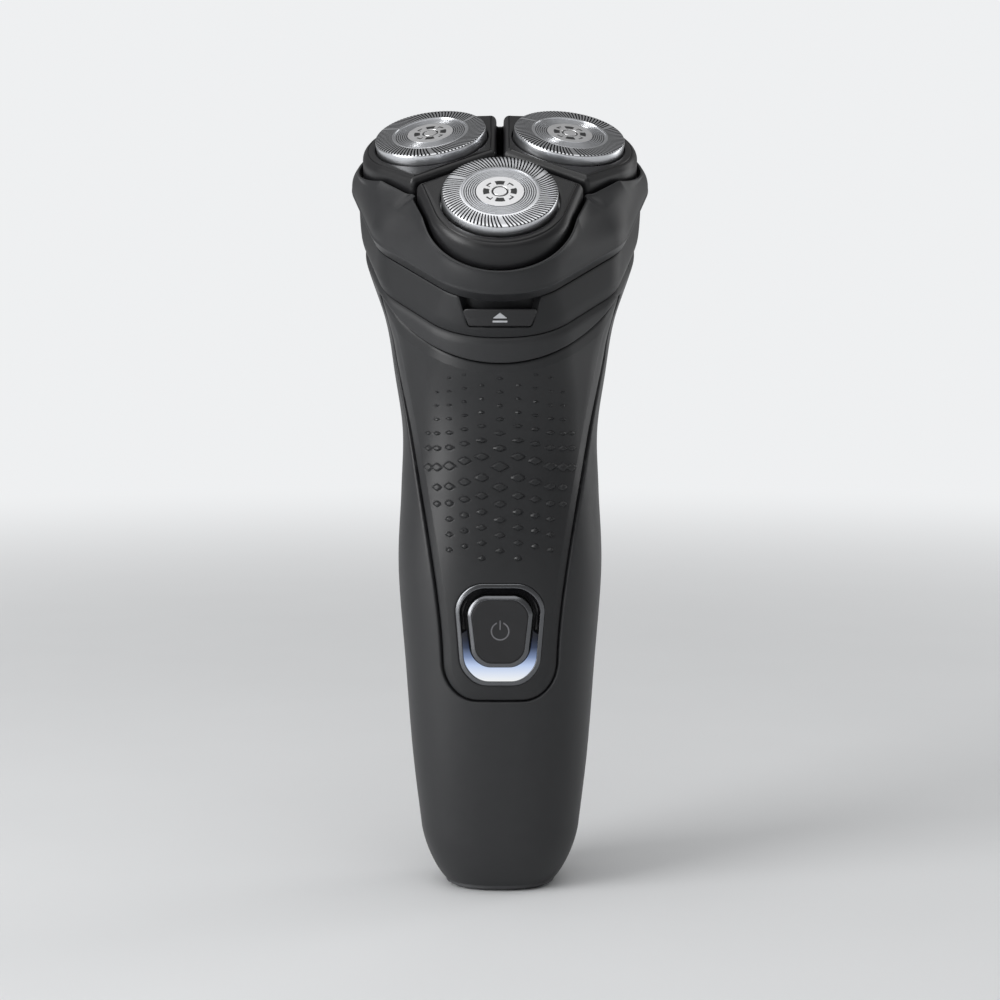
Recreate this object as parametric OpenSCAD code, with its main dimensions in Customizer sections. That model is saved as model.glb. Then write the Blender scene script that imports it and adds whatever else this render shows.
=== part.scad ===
// Rotary electric shaver: an upright handle with an inclined three-head shaving unit.
// Millimetres, +Z up. The origin is the centre of the flat foot; the front faces -Y.

/* [Handle] */
// Full width at the belly of the grip
belly_w = 41.5; // [38:0.5:46]
// Height of the belly above the foot
belly_z = 65.8; // [62:0.2:69]
// Full width at the waist under the neck
waist_w = 39.8; // [36:0.5:44]
// Width of the flat foot
foot_w = 19; // [17:0.5:22]
// Front-to-back depth of the flat foot
foot_d = 15.6; // [14:0.2:18]
// Height of the rounding between foot and sides
foot_round = 13; // [11:0.5:15]
// Thickness of the foot insert
foot_t = 1.4; // [1:0.1:2]
// Wall of the housing shells
wall = 2; // [1.6:0.1:2.2]
// Seam between neighbouring covers
seam = 0.3; // [0.2:0.05:0.4]
// Where the front and rear housings part, from the middle
split_y = 4; // [2:0.5:6]

/* [Head] */
// Distance of the head's centre in front of the foot's centre
head_forward = 5; // [3:0.5:7]
// Height of the three cap centres above the foot
head_z = 149.3; // [148.3:0.1:151]
// Forward tilt of the whole head
head_tilt = 31; // [28:0.5:33]
// Radius of the circle on which the caps stand
cap_ring_r = 16.25; // [16:0.05:16.8]
// Outward lean of each cap
cap_lean = 8.5; // [7:0.25:9]
// Diameter of a shaving cap
cap_d = 22.5; // [21.5:0.1:22.8]
// Height of a cap above its holder
cap_rise = 2.1; // [1.8:0.1:2.4]
// Number of slots in a cap
slot_count = 90; // [60:2:96]
// Width of one slot
slot_w = 0.36; // [0.25:0.01:0.4]
// Radius of the rounded outer side of a cap holder
pod_r = 14.1; // [13.9:0.05:14.4]
// Height of a cap holder
pod_h = 5.3; // [5:0.1:5.6]
// Gap around each cap holder
pod_gap = 0.6; // [0.5:0.05:0.8]
// Gap between neighbouring cap holders
pod_split = 1.4; // [1.2:0.1:1.8]
// Full width of the collar
collar_w = 60.8; // [60:0.2:62]
// Front-to-back length of the collar, along the head
collar_l = 55.2; // [55:0.2:57]
// Depth of the collar's edge below the cap tops
collar_edge_h = 14; // [13.5:0.1:14.3]
// Depth of the collar's underside below the cap tops
collar_base_h = 15.3; // [15:0.1:15.6]
// Wall of the collar at its edge
collar_wall = 2.7; // [2.4:0.1:3]

/* [Power button] */
// Height of the button's centre above the foot
button_z = 55; // [52:0.2:58]
// Width of the button
button_w = 12.4; // [11:0.2:13.4]
// Height of the button
button_h = 13.7; // [12.5:0.1:14.5]
// Travel of the button
button_travel = 0.6; // [0.4:0.1:0.7]

/* [Release button] */
// Height of the release button's centre above the foot
release_z = 116.7; // [116.3:0.1:117.1]
// Width of the release button
release_w = 13.6; // [12:0.2:15]
// Height of the release button
release_h = 3.4; // [3:0.1:3.6]

/* [Drive] */
// Tooth size of the motor stage
motor_module = 0.4; // [0.38:0.01:0.42]
// Teeth of the motor pinion
pinion_teeth = 12; // [12:1:13]
// Teeth of the large idler wheel
wheel_teeth = 36; // [35:1:37]
// Teeth of the small idler wheel, a multiple of three
sun_teeth = 30; // [27:3:30]
// Teeth of a head gear
gear_teeth = 18; // [18:2:20]
// Face width of every gear
gear_t = 2.5; // [2:0.1:2.6]
// Width of the flat-sided motor can
motor_w = 20; // [18:0.5:21]
// Thickness of the flat-sided motor can
motor_t = 15; // [13.6:0.2:15.6]
// Length of the motor can
motor_l = 20; // [18:0.5:21]
// Radius of the motor shaft
shaft_r = 1; // [0.8:0.05:1.1]
// Radius of a drive spindle
spindle_r = 2.6; // [2.5:0.05:2.8]
// How far a cap floats down into its holder
float_travel = 1.2; // [0.8:0.1:1.2]
// Radial clearance of every turning fit
run_fit = 0.06; // [0.03:0.01:0.09]

/* [Battery and inlet] */
// Diameter of the battery cell
cell_d = 14.2; // [13.6:0.1:14.6]
// Length of the battery cell
cell_l = 49.2; // [44:0.2:50]
// Width of the charging inlet's recess
inlet_w = 10.4; // [9.6:0.1:11]
// Depth of the charging inlet's recess, front to back
inlet_d = 6; // [5.6:0.1:6.4]
// Height of the charging inlet's recess
inlet_h = 9.4; // [9:0.1:10]
// Radius of an inlet pin
inlet_pin_r = 0.8; // [0.7:0.05:0.9]
// Length of an inlet pin inside the recess
inlet_pin_l = 4.6; // [4.2:0.1:4.8]
// Distance between the two inlet pins
inlet_pitch = 5; // [4.6:0.1:5.4]

/* [Hidden] */

round_fn = 64;
ring_points = 48;
slabs_per_stage = 3;
big = 200;
rest_gap = 0.3;

// Colours
c_body = [0.16, 0.16, 0.17];
c_panel = [0.08, 0.08, 0.085];
c_steel = [0.72, 0.73, 0.75];
c_dark_steel = [0.35, 0.36, 0.38];
c_plastic = [0.12, 0.12, 0.13];
c_inner = [0.82, 0.82, 0.8];
c_glow = [0.78, 0.88, 1];

// ---- Head frame: z along the head's axis, -y to the front, 0 at the caps' tops ----
module in_head() {
  translate([0, -head_forward, head_z])
    rotate([head_tilt, 0, 0])
      children();
}

// A point of the head frame, given by its y and z there, in the part's frame
function from_head(y, z) = [
  -head_forward + y * cos(head_tilt) - z * sin(head_tilt),
  head_z + y * sin(head_tilt) + z * cos(head_tilt)
];

// Frame of cap number i: z out of the cap, -y away from the head's centre
module in_pod(i) {
  in_head()
    rotate([0, 0, 120 * i])
      translate([0, -cap_ring_r, 0])
        rotate([cap_lean, 0, 0])
          children();
}

// Depth of the drive coupling below a cap's top, and where its spindle then stands
coupling_d = 9.6;
drive_ring_r = cap_ring_r - coupling_d * sin(cap_lean);
coupling_h = coupling_d * cos(cap_lean);

module in_drive(i) {
  in_head()
    rotate([0, 0, 120 * i])
      translate([0, -drive_ring_r, 0])
        children();
}

// ---- Handle sections ----
section_power = 2.4;
triangle_r = 0.5;
triangle_centres = [[0, -0.5], [0.36, -0.06], [-0.36, -0.06], [0.5, 0.5], [-0.5, 0.5]];

// Unit superellipse and unit rounded triangle, both sampled by the direction they face
function signed_power(v, p) = sign(v) * pow(abs(v), p);
function super_point(t) =
  let (
    q = section_power / (section_power - 1),
    s = pow(pow(abs(cos(t)), q) + pow(abs(sin(t)), q), 1 / section_power)
  )
  [signed_power(cos(t), q - 1) / s, signed_power(sin(t), q - 1) / s];
function reach(c, t) = c[0] * cos(t) + c[1] * sin(t);
function furthest(t, k = 0, best = 0) =
  k == len(triangle_centres) ? triangle_centres[best]
    : furthest(t, k + 1, reach(triangle_centres[k], t) > reach(triangle_centres[best], t) ? k : best);
function triangle_point(t) = furthest(t) + triangle_r * [cos(t), sin(t)];
function unit_section(m) = [
  for (k = [0:ring_points - 1])
    let (t = (k + 0.5) * 360 / ring_points)
    (1 - m) * super_point(t) + m * triangle_point(t)
];

// Stages of the handle, from the foot up:
// [height, y of the centre, tilt, half width, half depth, share of the triangle]
neck_top_h = collar_base_h + rest_gap;
neck_y = -4.1;
collar_y = -3.9;
neck_w = collar_w - 2.4;
neck_l = collar_l - 3;
crease_h = 23.5;
neck_top = from_head(neck_y, -neck_top_h);
neck_low = from_head(neck_y - 1.6, -crease_h);
stages = [
  [foot_round, 0, 0, 16.3, 13.6, 0],
  [27.8, 0.2, 0, 18, 15.7, 0],
  [45.8, 0.5, 0, 19.35, 17.1, 0],
  [belly_z, 0.9, 0, belly_w / 2, 18, 0],
  [81.8, 1.9, 3, 20.15, 17.8, 0],
  [93.8, 3.1, 9, waist_w / 2, 18.6, 0.05],
  [104.8, 3.6, 17, 21.4, 20.2, 0.2],
  [115.3, 3.3, 25, 24.1, 23.2, 0.45],
  [neck_low[1], neck_low[0], head_tilt, neck_w / 2 - 1.6, neck_l / 2 - 0.1, 0.75],
  [neck_top[1], neck_top[0], head_tilt, neck_w / 2, neck_l / 2, 1]
];

function curve(a, b, c, d, t) =
  0.5 * (2 * b + (c - a) * t + (2 * a - 5 * b + 4 * c - d) * t * t + (3 * b - a - 3 * c + d) * t * t * t);
function stage(k) = stages[min(max(k, 0), len(stages) - 1)];
function stage_at(s) =
  let (
    k = min(floor(s), len(stages) - 2),
    v = curve(stage(k - 1), stage(k), stage(k + 1), stage(k + 2), s - k)
  )
  [v[0], v[1], v[2], v[3], v[4], max(v[5], 0)];

// Sections of the rounded foot: an arc from the flat foot to the first full stage
foot_power = 1.6;
foot_steps = 6;
function foot_stage(k) =
  let (
    f = k / foot_steps,
    z = foot_round * f * f,
    s = pow(1 - pow((foot_round - z) / foot_round, foot_power), 1 / foot_power),
    top = stages[0]
  )
  [z, 0, 0, foot_w / 2 + (top[3] - foot_w / 2) * s, foot_d / 2 + (top[4] - foot_d / 2) * s, 0];

all_stages = concat(
  [for (k = [0:foot_steps - 1]) foot_stage(k)],
  [for (k = [0:slabs_per_stage * (len(stages) - 1)]) stage_at(k / slabs_per_stage)]
);

// The ring of points of one stage, drawn in or out by a constant distance
function ring(s, inset) = [
  for (p = unit_section(s[5]))
    let (x = p[0] * (s[3] - inset), y = p[1] * (s[4] - inset))
    [x, s[1] + y * cos(s[2]), s[0] + y * sin(s[2])]
];

// The handle's outer form, drawn in by inset; it starts at height low
module handle_form(inset = 0, low = 0) {
  rings = [for (s = all_stages) if (s[0] >= low - 0.01) ring(s, inset)];
  for (k = [0:len(rings) - 2])
    hull()
      polyhedron(
        points = concat(rings[k], rings[k + 1]),
        faces = [[for (i = [0:2 * ring_points - 1]) i]]
      );
}

// Front surface of the handle at a height on the grip, where sections are level
function grip_front(z) =
  let (
    hits = [for (k = [0:len(all_stages) - 2]) if (all_stages[k][0] <= z && all_stages[k + 1][0] > z) k],
    a = all_stages[hits[0]],
    b = all_stages[hits[0] + 1],
    f = (z - a[0]) / (b[0] - a[0])
  )
  (a[1] - a[4]) * (1 - f) + (b[1] - b[4]) * f;

// Half the width of the handle at such a height
function grip_half(z) =
  let (
    hits = [for (k = [0:len(all_stages) - 2]) if (all_stages[k][0] <= z && all_stages[k + 1][0] > z) k],
    a = all_stages[hits[0]],
    b = all_stages[hits[0] + 1],
    f = (z - a[0]) / (b[0] - a[0])
  )
  a[3] * (1 - f) + b[3] * f;

// ---- Covers of the handle ----
crease_at = [-20.5, 112.3];

module under_crease(lift = 0) {
  translate([0, crease_at[0], crease_at[1]])
    rotate([head_tilt, 0, 0])
      translate([-big / 2, -big / 2, lift - big])
        cube([big, big, big]);
}

module ahead_of(y) {
  translate([-big / 2, y - big, -1])
    cube([big, big, big]);
}

// Outline of the front panel, seen from the front: [x, z]
panel_top_r = 28.5;
panel_top_z = 107.7;
panel_low_z = 40.8;
panel_corner = 7;
panel_side = [[11.6, 48.6], [12.4, 56.8], [13.6, 68.8], [16.7, 84.4], [21.2, 108], [24.4, 121.3]];

module panel_outline() {
  side = panel_side;
  side_end = side[len(side) - 1];
  arc_end = asin(side_end[0] / panel_top_r);
  top = [
    for (t = [arc_end:-arc_end / 10:-arc_end])
      [panel_top_r * sin(t), panel_top_z + panel_top_r * (1 - cos(t))]
  ];
  low = [
    for (t = [0:15:90])
      [side[0][0] - panel_corner * (1 - cos(t)), side[0][1] + (panel_low_z - side[0][1]) * sin(t)]
  ];
  right = concat([for (k = [len(low) - 1:-1:1]) low[k]], side);
  polygon(concat(right, top, [for (k = [len(right) - 1:-1:0]) [-right[k][0], right[k][1]]]));
}

// A prism along the front-to-back direction from a drawing in [x, z], between two y
module front_prism(y0, y1) {
  translate([0, y1, 0])
    rotate([90, 0, 0])
      linear_extrude(y1 - y0)
        children();
}

module front_housing() {
  color(c_body)
    union() {
      difference() {
        intersection() {
          difference() {
            handle_form(0, foot_t);
            handle_form(wall, foot_t);
          }
          under_crease();
          ahead_of(split_y);
        }
        front_prism(-40, 0)
          offset(delta = seam)
            panel_outline();
      }
      spring_bracket();
    }
}

screw_x = 10;
screw_z = 85.8;
screw_r = 1;
screw_head_r = 2;
boss_r = 2.8;
boss_end = 14.6;
head_seat = boss_end + 1.5;

// Places its children at both housing screws, with z to the back
module at_screws(y) {
  for (x = [-screw_x, screw_x])
    translate([x, y, screw_z])
      rotate([-90, 0, 0])
        children();
}

module rear_housing() {
  color(c_body)
    difference() {
      intersection() {
        handle_form(0, foot_t);
        under_crease();
      }
      difference() {
        handle_form(wall, foot_t);
        at_screws(boss_end) cylinder(r = boss_r, h = 10, $fn = 32);
      }
      ahead_of(split_y);
      at_screws(boss_end - 1) cylinder(r = screw_r + 0.15, h = 10, $fn = 32);
      at_screws(head_seat) cylinder(r = screw_head_r + rest_gap, h = 20, $fn = 32);
      hinge_notch();
    }
}

// Outline of the button and its ring: a square with round corners, narrower at the bottom
module button_outline(grow = 0) {
  top = button_w / 2 + grow;
  low = button_w / 2 - 0.7 + grow;
  corner = 3.6 + grow * 0.7;
  translate([0, button_z])
    hull() {
      for (s = [-1, 1]) {
        translate([s * (top - corner), button_h / 2 + grow - corner]) circle(corner, $fn = 32);
        translate([s * (low - corner), -button_h / 2 - grow + corner]) circle(corner, $fn = 32);
      }
    }
}

button_proud = 0.2;
button_t = 2.4;
stem_r = 1.9;
board_y = -7.4;
board_t = 1.6;
board_front = board_y - board_t;
switch_t = 2;
plunger_r = 1.7;
plunger_l = 1.4;
bezel_out = 2.4;
bezel_in = 1.3;
glow_drop = 1.4;
module bezel_hole(grow = 0) {
  hull() {
    button_outline(bezel_out + grow);
    translate([0, -glow_drop]) button_outline(bezel_out + grow);
  }
}

panel_t = 2.2;
module front_panel() {
  color(c_panel)
    difference() {
      intersection() {
        difference() {
          handle_form(0, foot_t);
          handle_form(panel_t, foot_t);
        }
        front_prism(-40, 0)
          panel_outline();
      }
      front_prism(-40, 0)
        bezel_hole(0.1);
    }
}

// Ring round the button, as deep as the panel and a touch proud of it
bezel_proud = 0.3;
button_front = grip_front(button_z);
recess_floor = button_front - button_proud + button_t + button_travel + rest_gap;
recess_floor_t = 0.9;
module switch_bezel() {
  color(c_plastic)
    difference() {
      intersection() {
        difference() {
          handle_form(-bezel_proud, foot_t);
          front_prism(recess_floor + recess_floor_t, 40)
            translate([-big / 2, 0]) square(big);
        }
        front_prism(-40, 0)
          bezel_hole();
      }
      front_prism(-40, recess_floor)
        button_outline(bezel_in);
      front_prism(-40, 0)
        translate([0, button_z])
          circle(stem_r + rest_gap, $fn = round_fn);
      light_seat(0.1);
      light_legs(0.1, 2);
    }
}

// Light guide: the lower arc of the ring, under the button
light_t = 1.6;
light_low = 3;
module light_shape(grow = 0) {
  intersection() {
    difference() {
      translate([0, -glow_drop]) button_outline(bezel_out - 0.7 + grow);
      button_outline(bezel_in - grow);
    }
    translate([-big / 2, button_z - big + light_low + grow]) square([big, big]);
  }
}

module light_seat(grow = 0) {
  intersection() {
    handle_form(-1, foot_t);
    front_prism(button_front - 2, button_front + light_t + grow)
      light_shape(grow);
  }
}

// Legs that carry the light from the board to the ring
leg_r = 0.8;
leg_x = 2.6;
led_t = 0.9;
glow_mid = button_z - button_h / 2 - (bezel_in + bezel_out - 0.7 + glow_drop) / 2;
module light_legs(grow = 0, more = 0) {
  y0 = button_front + light_t - 0.1;
  for (s = [-1, 1])
    translate([s * leg_x, y0, glow_mid])
      rotate([-90, 0, 0])
        cylinder(r = leg_r + grow, h = board_front - led_t - rest_gap - y0 + more, $fn = 24);
}

module light_ring() {
  color(c_glow)
    union() {
      intersection() {
        handle_form(-bezel_proud / 2, foot_t);
        front_prism(button_front - 2, button_front + light_t)
          light_shape();
      }
      light_legs();
    }
}

// ---- Power button and its switch ----
module power_button() {
  y0 = button_front - button_proud;
  color(c_panel)
    union() {
      hull() {
        front_prism(y0 + 0.6, y0 + button_t) button_outline();
        front_prism(y0, y0 + button_t) button_outline(-0.6);
      }
      front_prism(y0 + button_t, board_front - switch_t - plunger_l + 0.6)
        translate([0, button_z])
          circle(stem_r, $fn = round_fn);
    }
}

plunger_end = board_front - switch_t + 0.8;
module switch_plunger() {
  color(c_inner)
    front_prism(board_front - switch_t - plunger_l + 0.6, plunger_end - button_travel)
      translate([0, button_z])
        circle(plunger_r, $fn = round_fn);
}

switch_w = 6;
module tactile_switch() {
  color(c_dark_steel)
    difference() {
      front_prism(board_front - switch_t, board_front)
        translate([0, button_z])
          square(switch_w, center = true);
      front_prism(board_front - switch_t - 1, plunger_end + 0.1)
        translate([0, button_z])
          circle(plunger_r + run_fit, $fn = round_fn);
    }
}

// ---- Release button, a latch that is pushed in at the front of the neck ----
release_travel = 1.2;
release_front = -23.6;
release_depth = 7.7;
flange_back = release_front + release_depth + 1;
module release_outline(grow = 0) {
  top = release_w / 2 + 0.6 + grow;
  low = release_w / 2 - 0.8 + grow;
  translate([0, release_z])
    polygon([
      [-top, release_h / 2 + grow], [-low, -release_h / 2 - grow],
      [low, -release_h / 2 - grow], [top, release_h / 2 + grow]
    ]);
}

module release_button() {
  color(c_panel)
    union() {
      intersection() {
        front_prism(release_front - 1, release_front + release_depth) release_outline();
        handle_form(-0.5, foot_t);
      }
      front_prism(release_front + release_depth - 0.01, flange_back)
        translate([0, release_z - 0.4])
          square([release_w + 3, release_h + 1.4], center = true);
    }
}

// A coil spring of round wire standing on z = 0
spring_sides = 6;
spring_steps = 12;
module coil_spring(r, wire, turns, l) {
  n = turns * spring_steps;
  points = [
    for (k = [0:n])
      let (t = 360 * k / spring_steps, z = wire + (l - 2 * wire) * k / n)
      for (j = [0:spring_sides - 1])
        let (a = 360 * j / spring_sides, q = r + wire * cos(a))
        [q * cos(t), q * sin(t), z + wire * sin(a)]
  ];
  faces = concat(
    [[for (j = [0:spring_sides - 1]) j]],
    [
      for (k = [0:n - 1])
        for (j = [0:spring_sides - 1])
          let (b = k * spring_sides, m = (j + 1) % spring_sides)
          [b + j, b + spring_sides + j, b + spring_sides + m, b + m]
    ],
    [[for (j = [spring_sides - 1:-1:0]) n * spring_sides + j]]
  );
  polyhedron(points = points, faces = faces);
}

spring_wire = 0.22;
release_spring_r = 1.2;
release_spring_l = 3;
spring_z = release_z - 1.2;
spring_seat = flange_back + release_spring_l + 0.1;
module release_spring() {
  color(c_steel)
    translate([0, flange_back + 0.05, spring_z])
      rotate([-90, 0, 0])
        coil_spring(release_spring_r, spring_wire, 3, release_spring_l);
}

// Bracket inside the front housing that the release spring pushes against
module spring_bracket() {
  low = spring_z - release_spring_r - 1;
  root = release_front + 4.5;
  translate([-2.5, root, low - 0.8])
    cube([5, spring_seat + 0.8 - root, 0.8]);
  translate([-2.5, spring_seat, low - 0.8])
    cube([5, 0.8, spring_z - low + 1.8]);
}

// ---- Neck ----
hinge_y = collar_y + collar_l / 2 + 0.6;
hinge_h = -collar_base_h - 0.3;
hinge_r = 1.8;
hinge_pin_r = 0.8;
hinge_half = 7;
lug_half = 4;
block_front = hinge_y - 4.6;
block_low = 4.2;
lug_rise = hinge_r + 0.4;

module neck_shell() {
  color(c_body)
    difference() {
      handle_form(0, foot_t);
      handle_form(wall, foot_t);
      under_crease(seam);
      front_prism(-40, -10)
        release_outline(rest_gap);
      hinge_notch();
    }
}

// Room for the hinge block in the back of the neck and of the rear housing
module hinge_notch() {
  in_head()
    translate([-hinge_half - rest_gap, block_front - rest_gap, hinge_h - block_low - rest_gap])
      cube([2 * (hinge_half + rest_gap), 20, 20]);
}

// Section of the neck in the head frame, at a share f of the way from crease to top
neck_stage = len(stages) - 2;
function neck_section(f, inset) =
  let (
    s = stage_at(neck_stage + f),
    y0 = (s[1] + head_forward) * cos(head_tilt) + (s[0] - head_z) * sin(head_tilt)
  )
  [for (p = unit_section(s[5])) [p[0] * (s[3] - inset), y0 + p[1] * (s[4] - inset)]];

// ---- Gear levels below the cap tops ----
floor_top = -18.5;
floor_t = 1.5;
gear_top = -22.5;
gear_low = gear_top - gear_t;
wheel_top = gear_low - 0.5;
wheel_low = wheel_top - gear_t;
plate_top = wheel_low - 0.8;
plate_t = 1.5;
journal_r = 1.5;
post_ring_r = 13.6;
post_r = 2.4;
latch_y = -24;

module chamber_floor() {
  color(c_plastic)
    in_head()
      difference() {
        union() {
          translate([0, 0, floor_top - floor_t])
            linear_extrude(floor_t)
              polygon(neck_section(0.4, wall + 0.5));
          for (i = [0:2])
            rotate([0, 0, 120 * i])
              translate([0, -drive_ring_r, floor_top - 0.1])
                cylinder(r = spindle_r + 1.6, h = 1.3, $fn = round_fn);
          translate([0, 0, gear_top + rest_gap])
            cylinder(r = journal_r + 1.7, h = floor_top - gear_top - rest_gap - 0.1, $fn = round_fn);
          for (s = [-1, 1])
            rotate([0, 0, 60 * s])
              translate([0, -post_ring_r, plate_top])
                cylinder(r = post_r, h = floor_top - plate_top - 0.1, $fn = round_fn);
        }
        for (i = [0:2])
          rotate([0, 0, 120 * i])
            translate([0, -drive_ring_r, floor_top - 10])
              cylinder(r = spindle_r + run_fit, h = 20, $fn = round_fn);
        translate([0, 0, gear_top - 1])
          cylinder(r = journal_r + run_fit, h = 3.2, $fn = round_fn);
        for (s = [-1, 1])
          rotate([0, 0, 60 * s])
            translate([0, -post_ring_r, plate_top - 1])
              cylinder(r = screw_r, h = 7, $fn = round_fn);
        translate([-release_w / 2 - 2, latch_y - 20, floor_top - 5])
          cube([release_w + 4, 20, 10]);
      }
}

module chamber_seal() {
  color(c_panel)
    in_head()
      difference() {
        translate([0, 0, floor_top])
          linear_extrude(1)
            difference() {
              polygon(neck_section(0.55, wall + 0.5));
              polygon(neck_section(0.55, wall + 1.5));
            }
        translate([-release_w / 2 - 2, latch_y - 20, floor_top - 5])
          cube([release_w + 4, 20, 10]);
      }
}

module spindle_seals() {
  color(c_panel)
    for (i = [0:2])
      in_drive(i)
        translate([0, 0, floor_top + 1.2])
          difference() {
            cylinder(r = spindle_r + 1.4, h = 0.6, $fn = round_fn);
            translate([0, 0, -1]) cylinder(r = spindle_r + 0.1, h = 3, $fn = round_fn);
          }
}

motor_offset = motor_module * (pinion_teeth + wheel_teeth) / 2;
motor_top = plate_top - plate_t;
module gear_plate() {
  color(c_steel)
    in_head()
      translate([0, 0, plate_top - plate_t])
        difference() {
          union() {
            cylinder(r = 9, h = plate_t, $fn = round_fn);
            for (i = [0:2])
              rotate([0, 0, 120 * i]) {
                translate([-journal_r - 1.2, -drive_ring_r, 0])
                  cube([2 * journal_r + 2.4, drive_ring_r, plate_t]);
                translate([0, -drive_ring_r, 0])
                  cylinder(r = journal_r + 1.2, h = plate_t, $fn = round_fn);
              }
            for (s = [-1, 1])
              rotate([0, 0, 60 * s]) {
                translate([-post_r, -post_ring_r, 0]) cube([2 * post_r, post_ring_r, plate_t]);
                translate([0, -post_ring_r, 0]) cylinder(r = post_r, h = plate_t, $fn = round_fn);
              }
          }
          for (i = [0:2])
            rotate([0, 0, 120 * i])
              translate([0, -drive_ring_r, -1])
                cylinder(r = journal_r + run_fit, h = 5, $fn = round_fn);
          translate([0, 0, -1]) cylinder(r = journal_r + run_fit, h = 5, $fn = round_fn);
          translate([0, -motor_offset, -1]) cylinder(r = 2.2, h = 5, $fn = round_fn);
          for (s = [-1, 1])
            rotate([0, 0, 60 * s])
              translate([0, -post_ring_r, -1])
                cylinder(r = screw_r + 0.1, h = 5, $fn = round_fn);
        }
}

module gearbox_screws() {
  color(c_steel)
    in_head()
      for (s = [-1, 1])
        rotate([0, 0, 60 * s])
          translate([0, -post_ring_r, plate_top - plate_t])
            union() {
              translate([0, 0, -1.2]) cylinder(r = 1.9, h = 1.2, $fn = round_fn);
              translate([0, 0, -0.1]) cylinder(r = screw_r - 0.02, h = 6, $fn = round_fn);
            }
}

// ---- Motor ----
rotor_r = 5.8;
magnet_r = 6.2;
can_wall = 1;
bearing_l = 1.6;
module in_motor() {
  in_head()
    translate([0, -motor_offset, motor_top - motor_l])
      children();
}

module motor_can() {
  color(c_dark_steel)
    in_motor()
      difference() {
        intersection() {
          cylinder(r = motor_w / 2, h = motor_l, $fn = round_fn);
          translate([-motor_w, -motor_t / 2, 0]) cube([2 * motor_w, motor_t, motor_l]);
        }
        translate([0, 0, bearing_l]) cylinder(r = magnet_r, h = motor_l - 2 * bearing_l, $fn = round_fn);
        translate([0, 0, -1]) cylinder(r = shaft_r + run_fit, h = motor_l + 2, $fn = round_fn);
      }
}

module armature() {
  color("peru")
    in_motor()
      translate([0, 0, bearing_l + 1.2])
        difference() {
          cylinder(r = rotor_r, h = motor_l - 2 * bearing_l - 2.4, $fn = round_fn);
          translate([0, 0, -1]) cylinder(r = shaft_r, h = motor_l, $fn = round_fn);
        }
}

module motor_shaft() {
  color(c_steel)
    in_motor()
      translate([0, 0, 0.2])
        cylinder(r = shaft_r, h = wheel_top - motor_top + motor_l - 0.3, $fn = round_fn);
}

// ---- Gears ----
pressure = 20;
tooth_top = 0.9;
tooth_root = 1.25;
backlash = 0.16;
function involute(a) = tan(a) * 180 / PI - a;
// Outline of a spur gear with one tooth pointing along +x
function gear_outline(teeth, module_) =
  let (
    rp = module_ * teeth / 2,
    rb = rp * cos(pressure),
    ra = rp + tooth_top * module_,
    rf = rp - tooth_root * module_,
    half = 90 / teeth - backlash * module_ / rp * 90 / PI,
    low = max(rb, rf),
    at_low = half + involute(pressure) - involute(acos(min(1, rb / low))),
    at_top = half + involute(pressure) - involute(acos(rb / ra))
  )
  [
    for (k = [0:teeth - 1])
      for (q = [[rf, -at_low], [rp, -half], [ra, -at_top], [ra, at_top], [rp, half], [rf, at_low]])
        q[0] * [cos(360 * k / teeth + q[1]), sin(360 * k / teeth + q[1])]
  ];

module gear(teeth, module_, turn = 0) {
  rotate([0, 0, turn])
    linear_extrude(gear_t)
      polygon(gear_outline(teeth, module_));
}

// The sun has a tooth facing each head gear, and each head gear a gap facing the sun
gear_module = 2 * drive_ring_r / (sun_teeth + gear_teeth);
module motor_pinion() {
  color("gold")
    in_head()
      translate([0, -motor_offset, wheel_low])
        difference() {
          gear(pinion_teeth, motor_module, 90 + (pinion_teeth % 2 == 0 ? 180 / pinion_teeth : 0));
          translate([0, 0, -1]) cylinder(r = shaft_r, h = 6, $fn = round_fn);
        }
}

module idler_gear() {
  color(c_inner)
    in_head()
      union() {
        translate([0, 0, wheel_low]) gear(wheel_teeth, motor_module, -90);
        translate([0, 0, wheel_top - 0.1])
          cylinder(r = 5, h = gear_low - wheel_top + 0.2, $fn = round_fn);
        translate([0, 0, gear_low]) gear(sun_teeth, gear_module, -90);
        translate([0, 0, plate_top - plate_t + 0.1])
          cylinder(r = journal_r, h = wheel_low - plate_top + plate_t, $fn = round_fn);
        translate([0, 0, gear_top - 0.1]) cylinder(r = journal_r, h = 2, $fn = round_fn);
      }
}

// Head gears, each with a six-sided shaft that carries its spindle
hex_r = 1.75;
hex_gap = 0.17;
hex_top = -15.5;
module drive_gear(i) {
  color(c_inner)
    in_drive(i)
      union() {
        translate([0, 0, gear_low])
          gear(gear_teeth, gear_module, 90 + (gear_teeth % 2 == 0 ? 180 / gear_teeth : 0));
        translate([0, 0, gear_top - 0.1]) cylinder(r = hex_r, h = hex_top - gear_top + 0.1, $fn = 6);
        translate([0, 0, plate_top - plate_t + 0.1])
          cylinder(r = journal_r, h = gear_low - plate_top + plate_t, $fn = round_fn);
      }
}

// Spindle: a sleeve that slides on the gear's shaft and ends in a flat drive head
sleeve_low = gear_top + float_travel + 0.3;
sleeve_top = -11.6;
head_low = -10.3;
head_t = 1.5;
head_l = 4.8;
head_w = 2;
stem_top_r = 1;
module drive_spindle(i) {
  color(c_inner)
    in_drive(i)
      difference() {
        union() {
          translate([0, 0, sleeve_low])
            cylinder(r = spindle_r, h = sleeve_top - sleeve_low, $fn = round_fn);
          translate([0, 0, sleeve_top - 0.1])
            cylinder(r = stem_top_r, h = head_low - sleeve_top + 0.2, $fn = round_fn);
          translate([-head_l / 2, -head_w / 2, head_low]) cube([head_l, head_w, head_t]);
        }
        translate([0, 0, sleeve_low - 1])
          cylinder(r = hex_r + hex_gap, h = sleeve_top - 0.6 - sleeve_low + 1, $fn = 6);
      }
}

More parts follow.
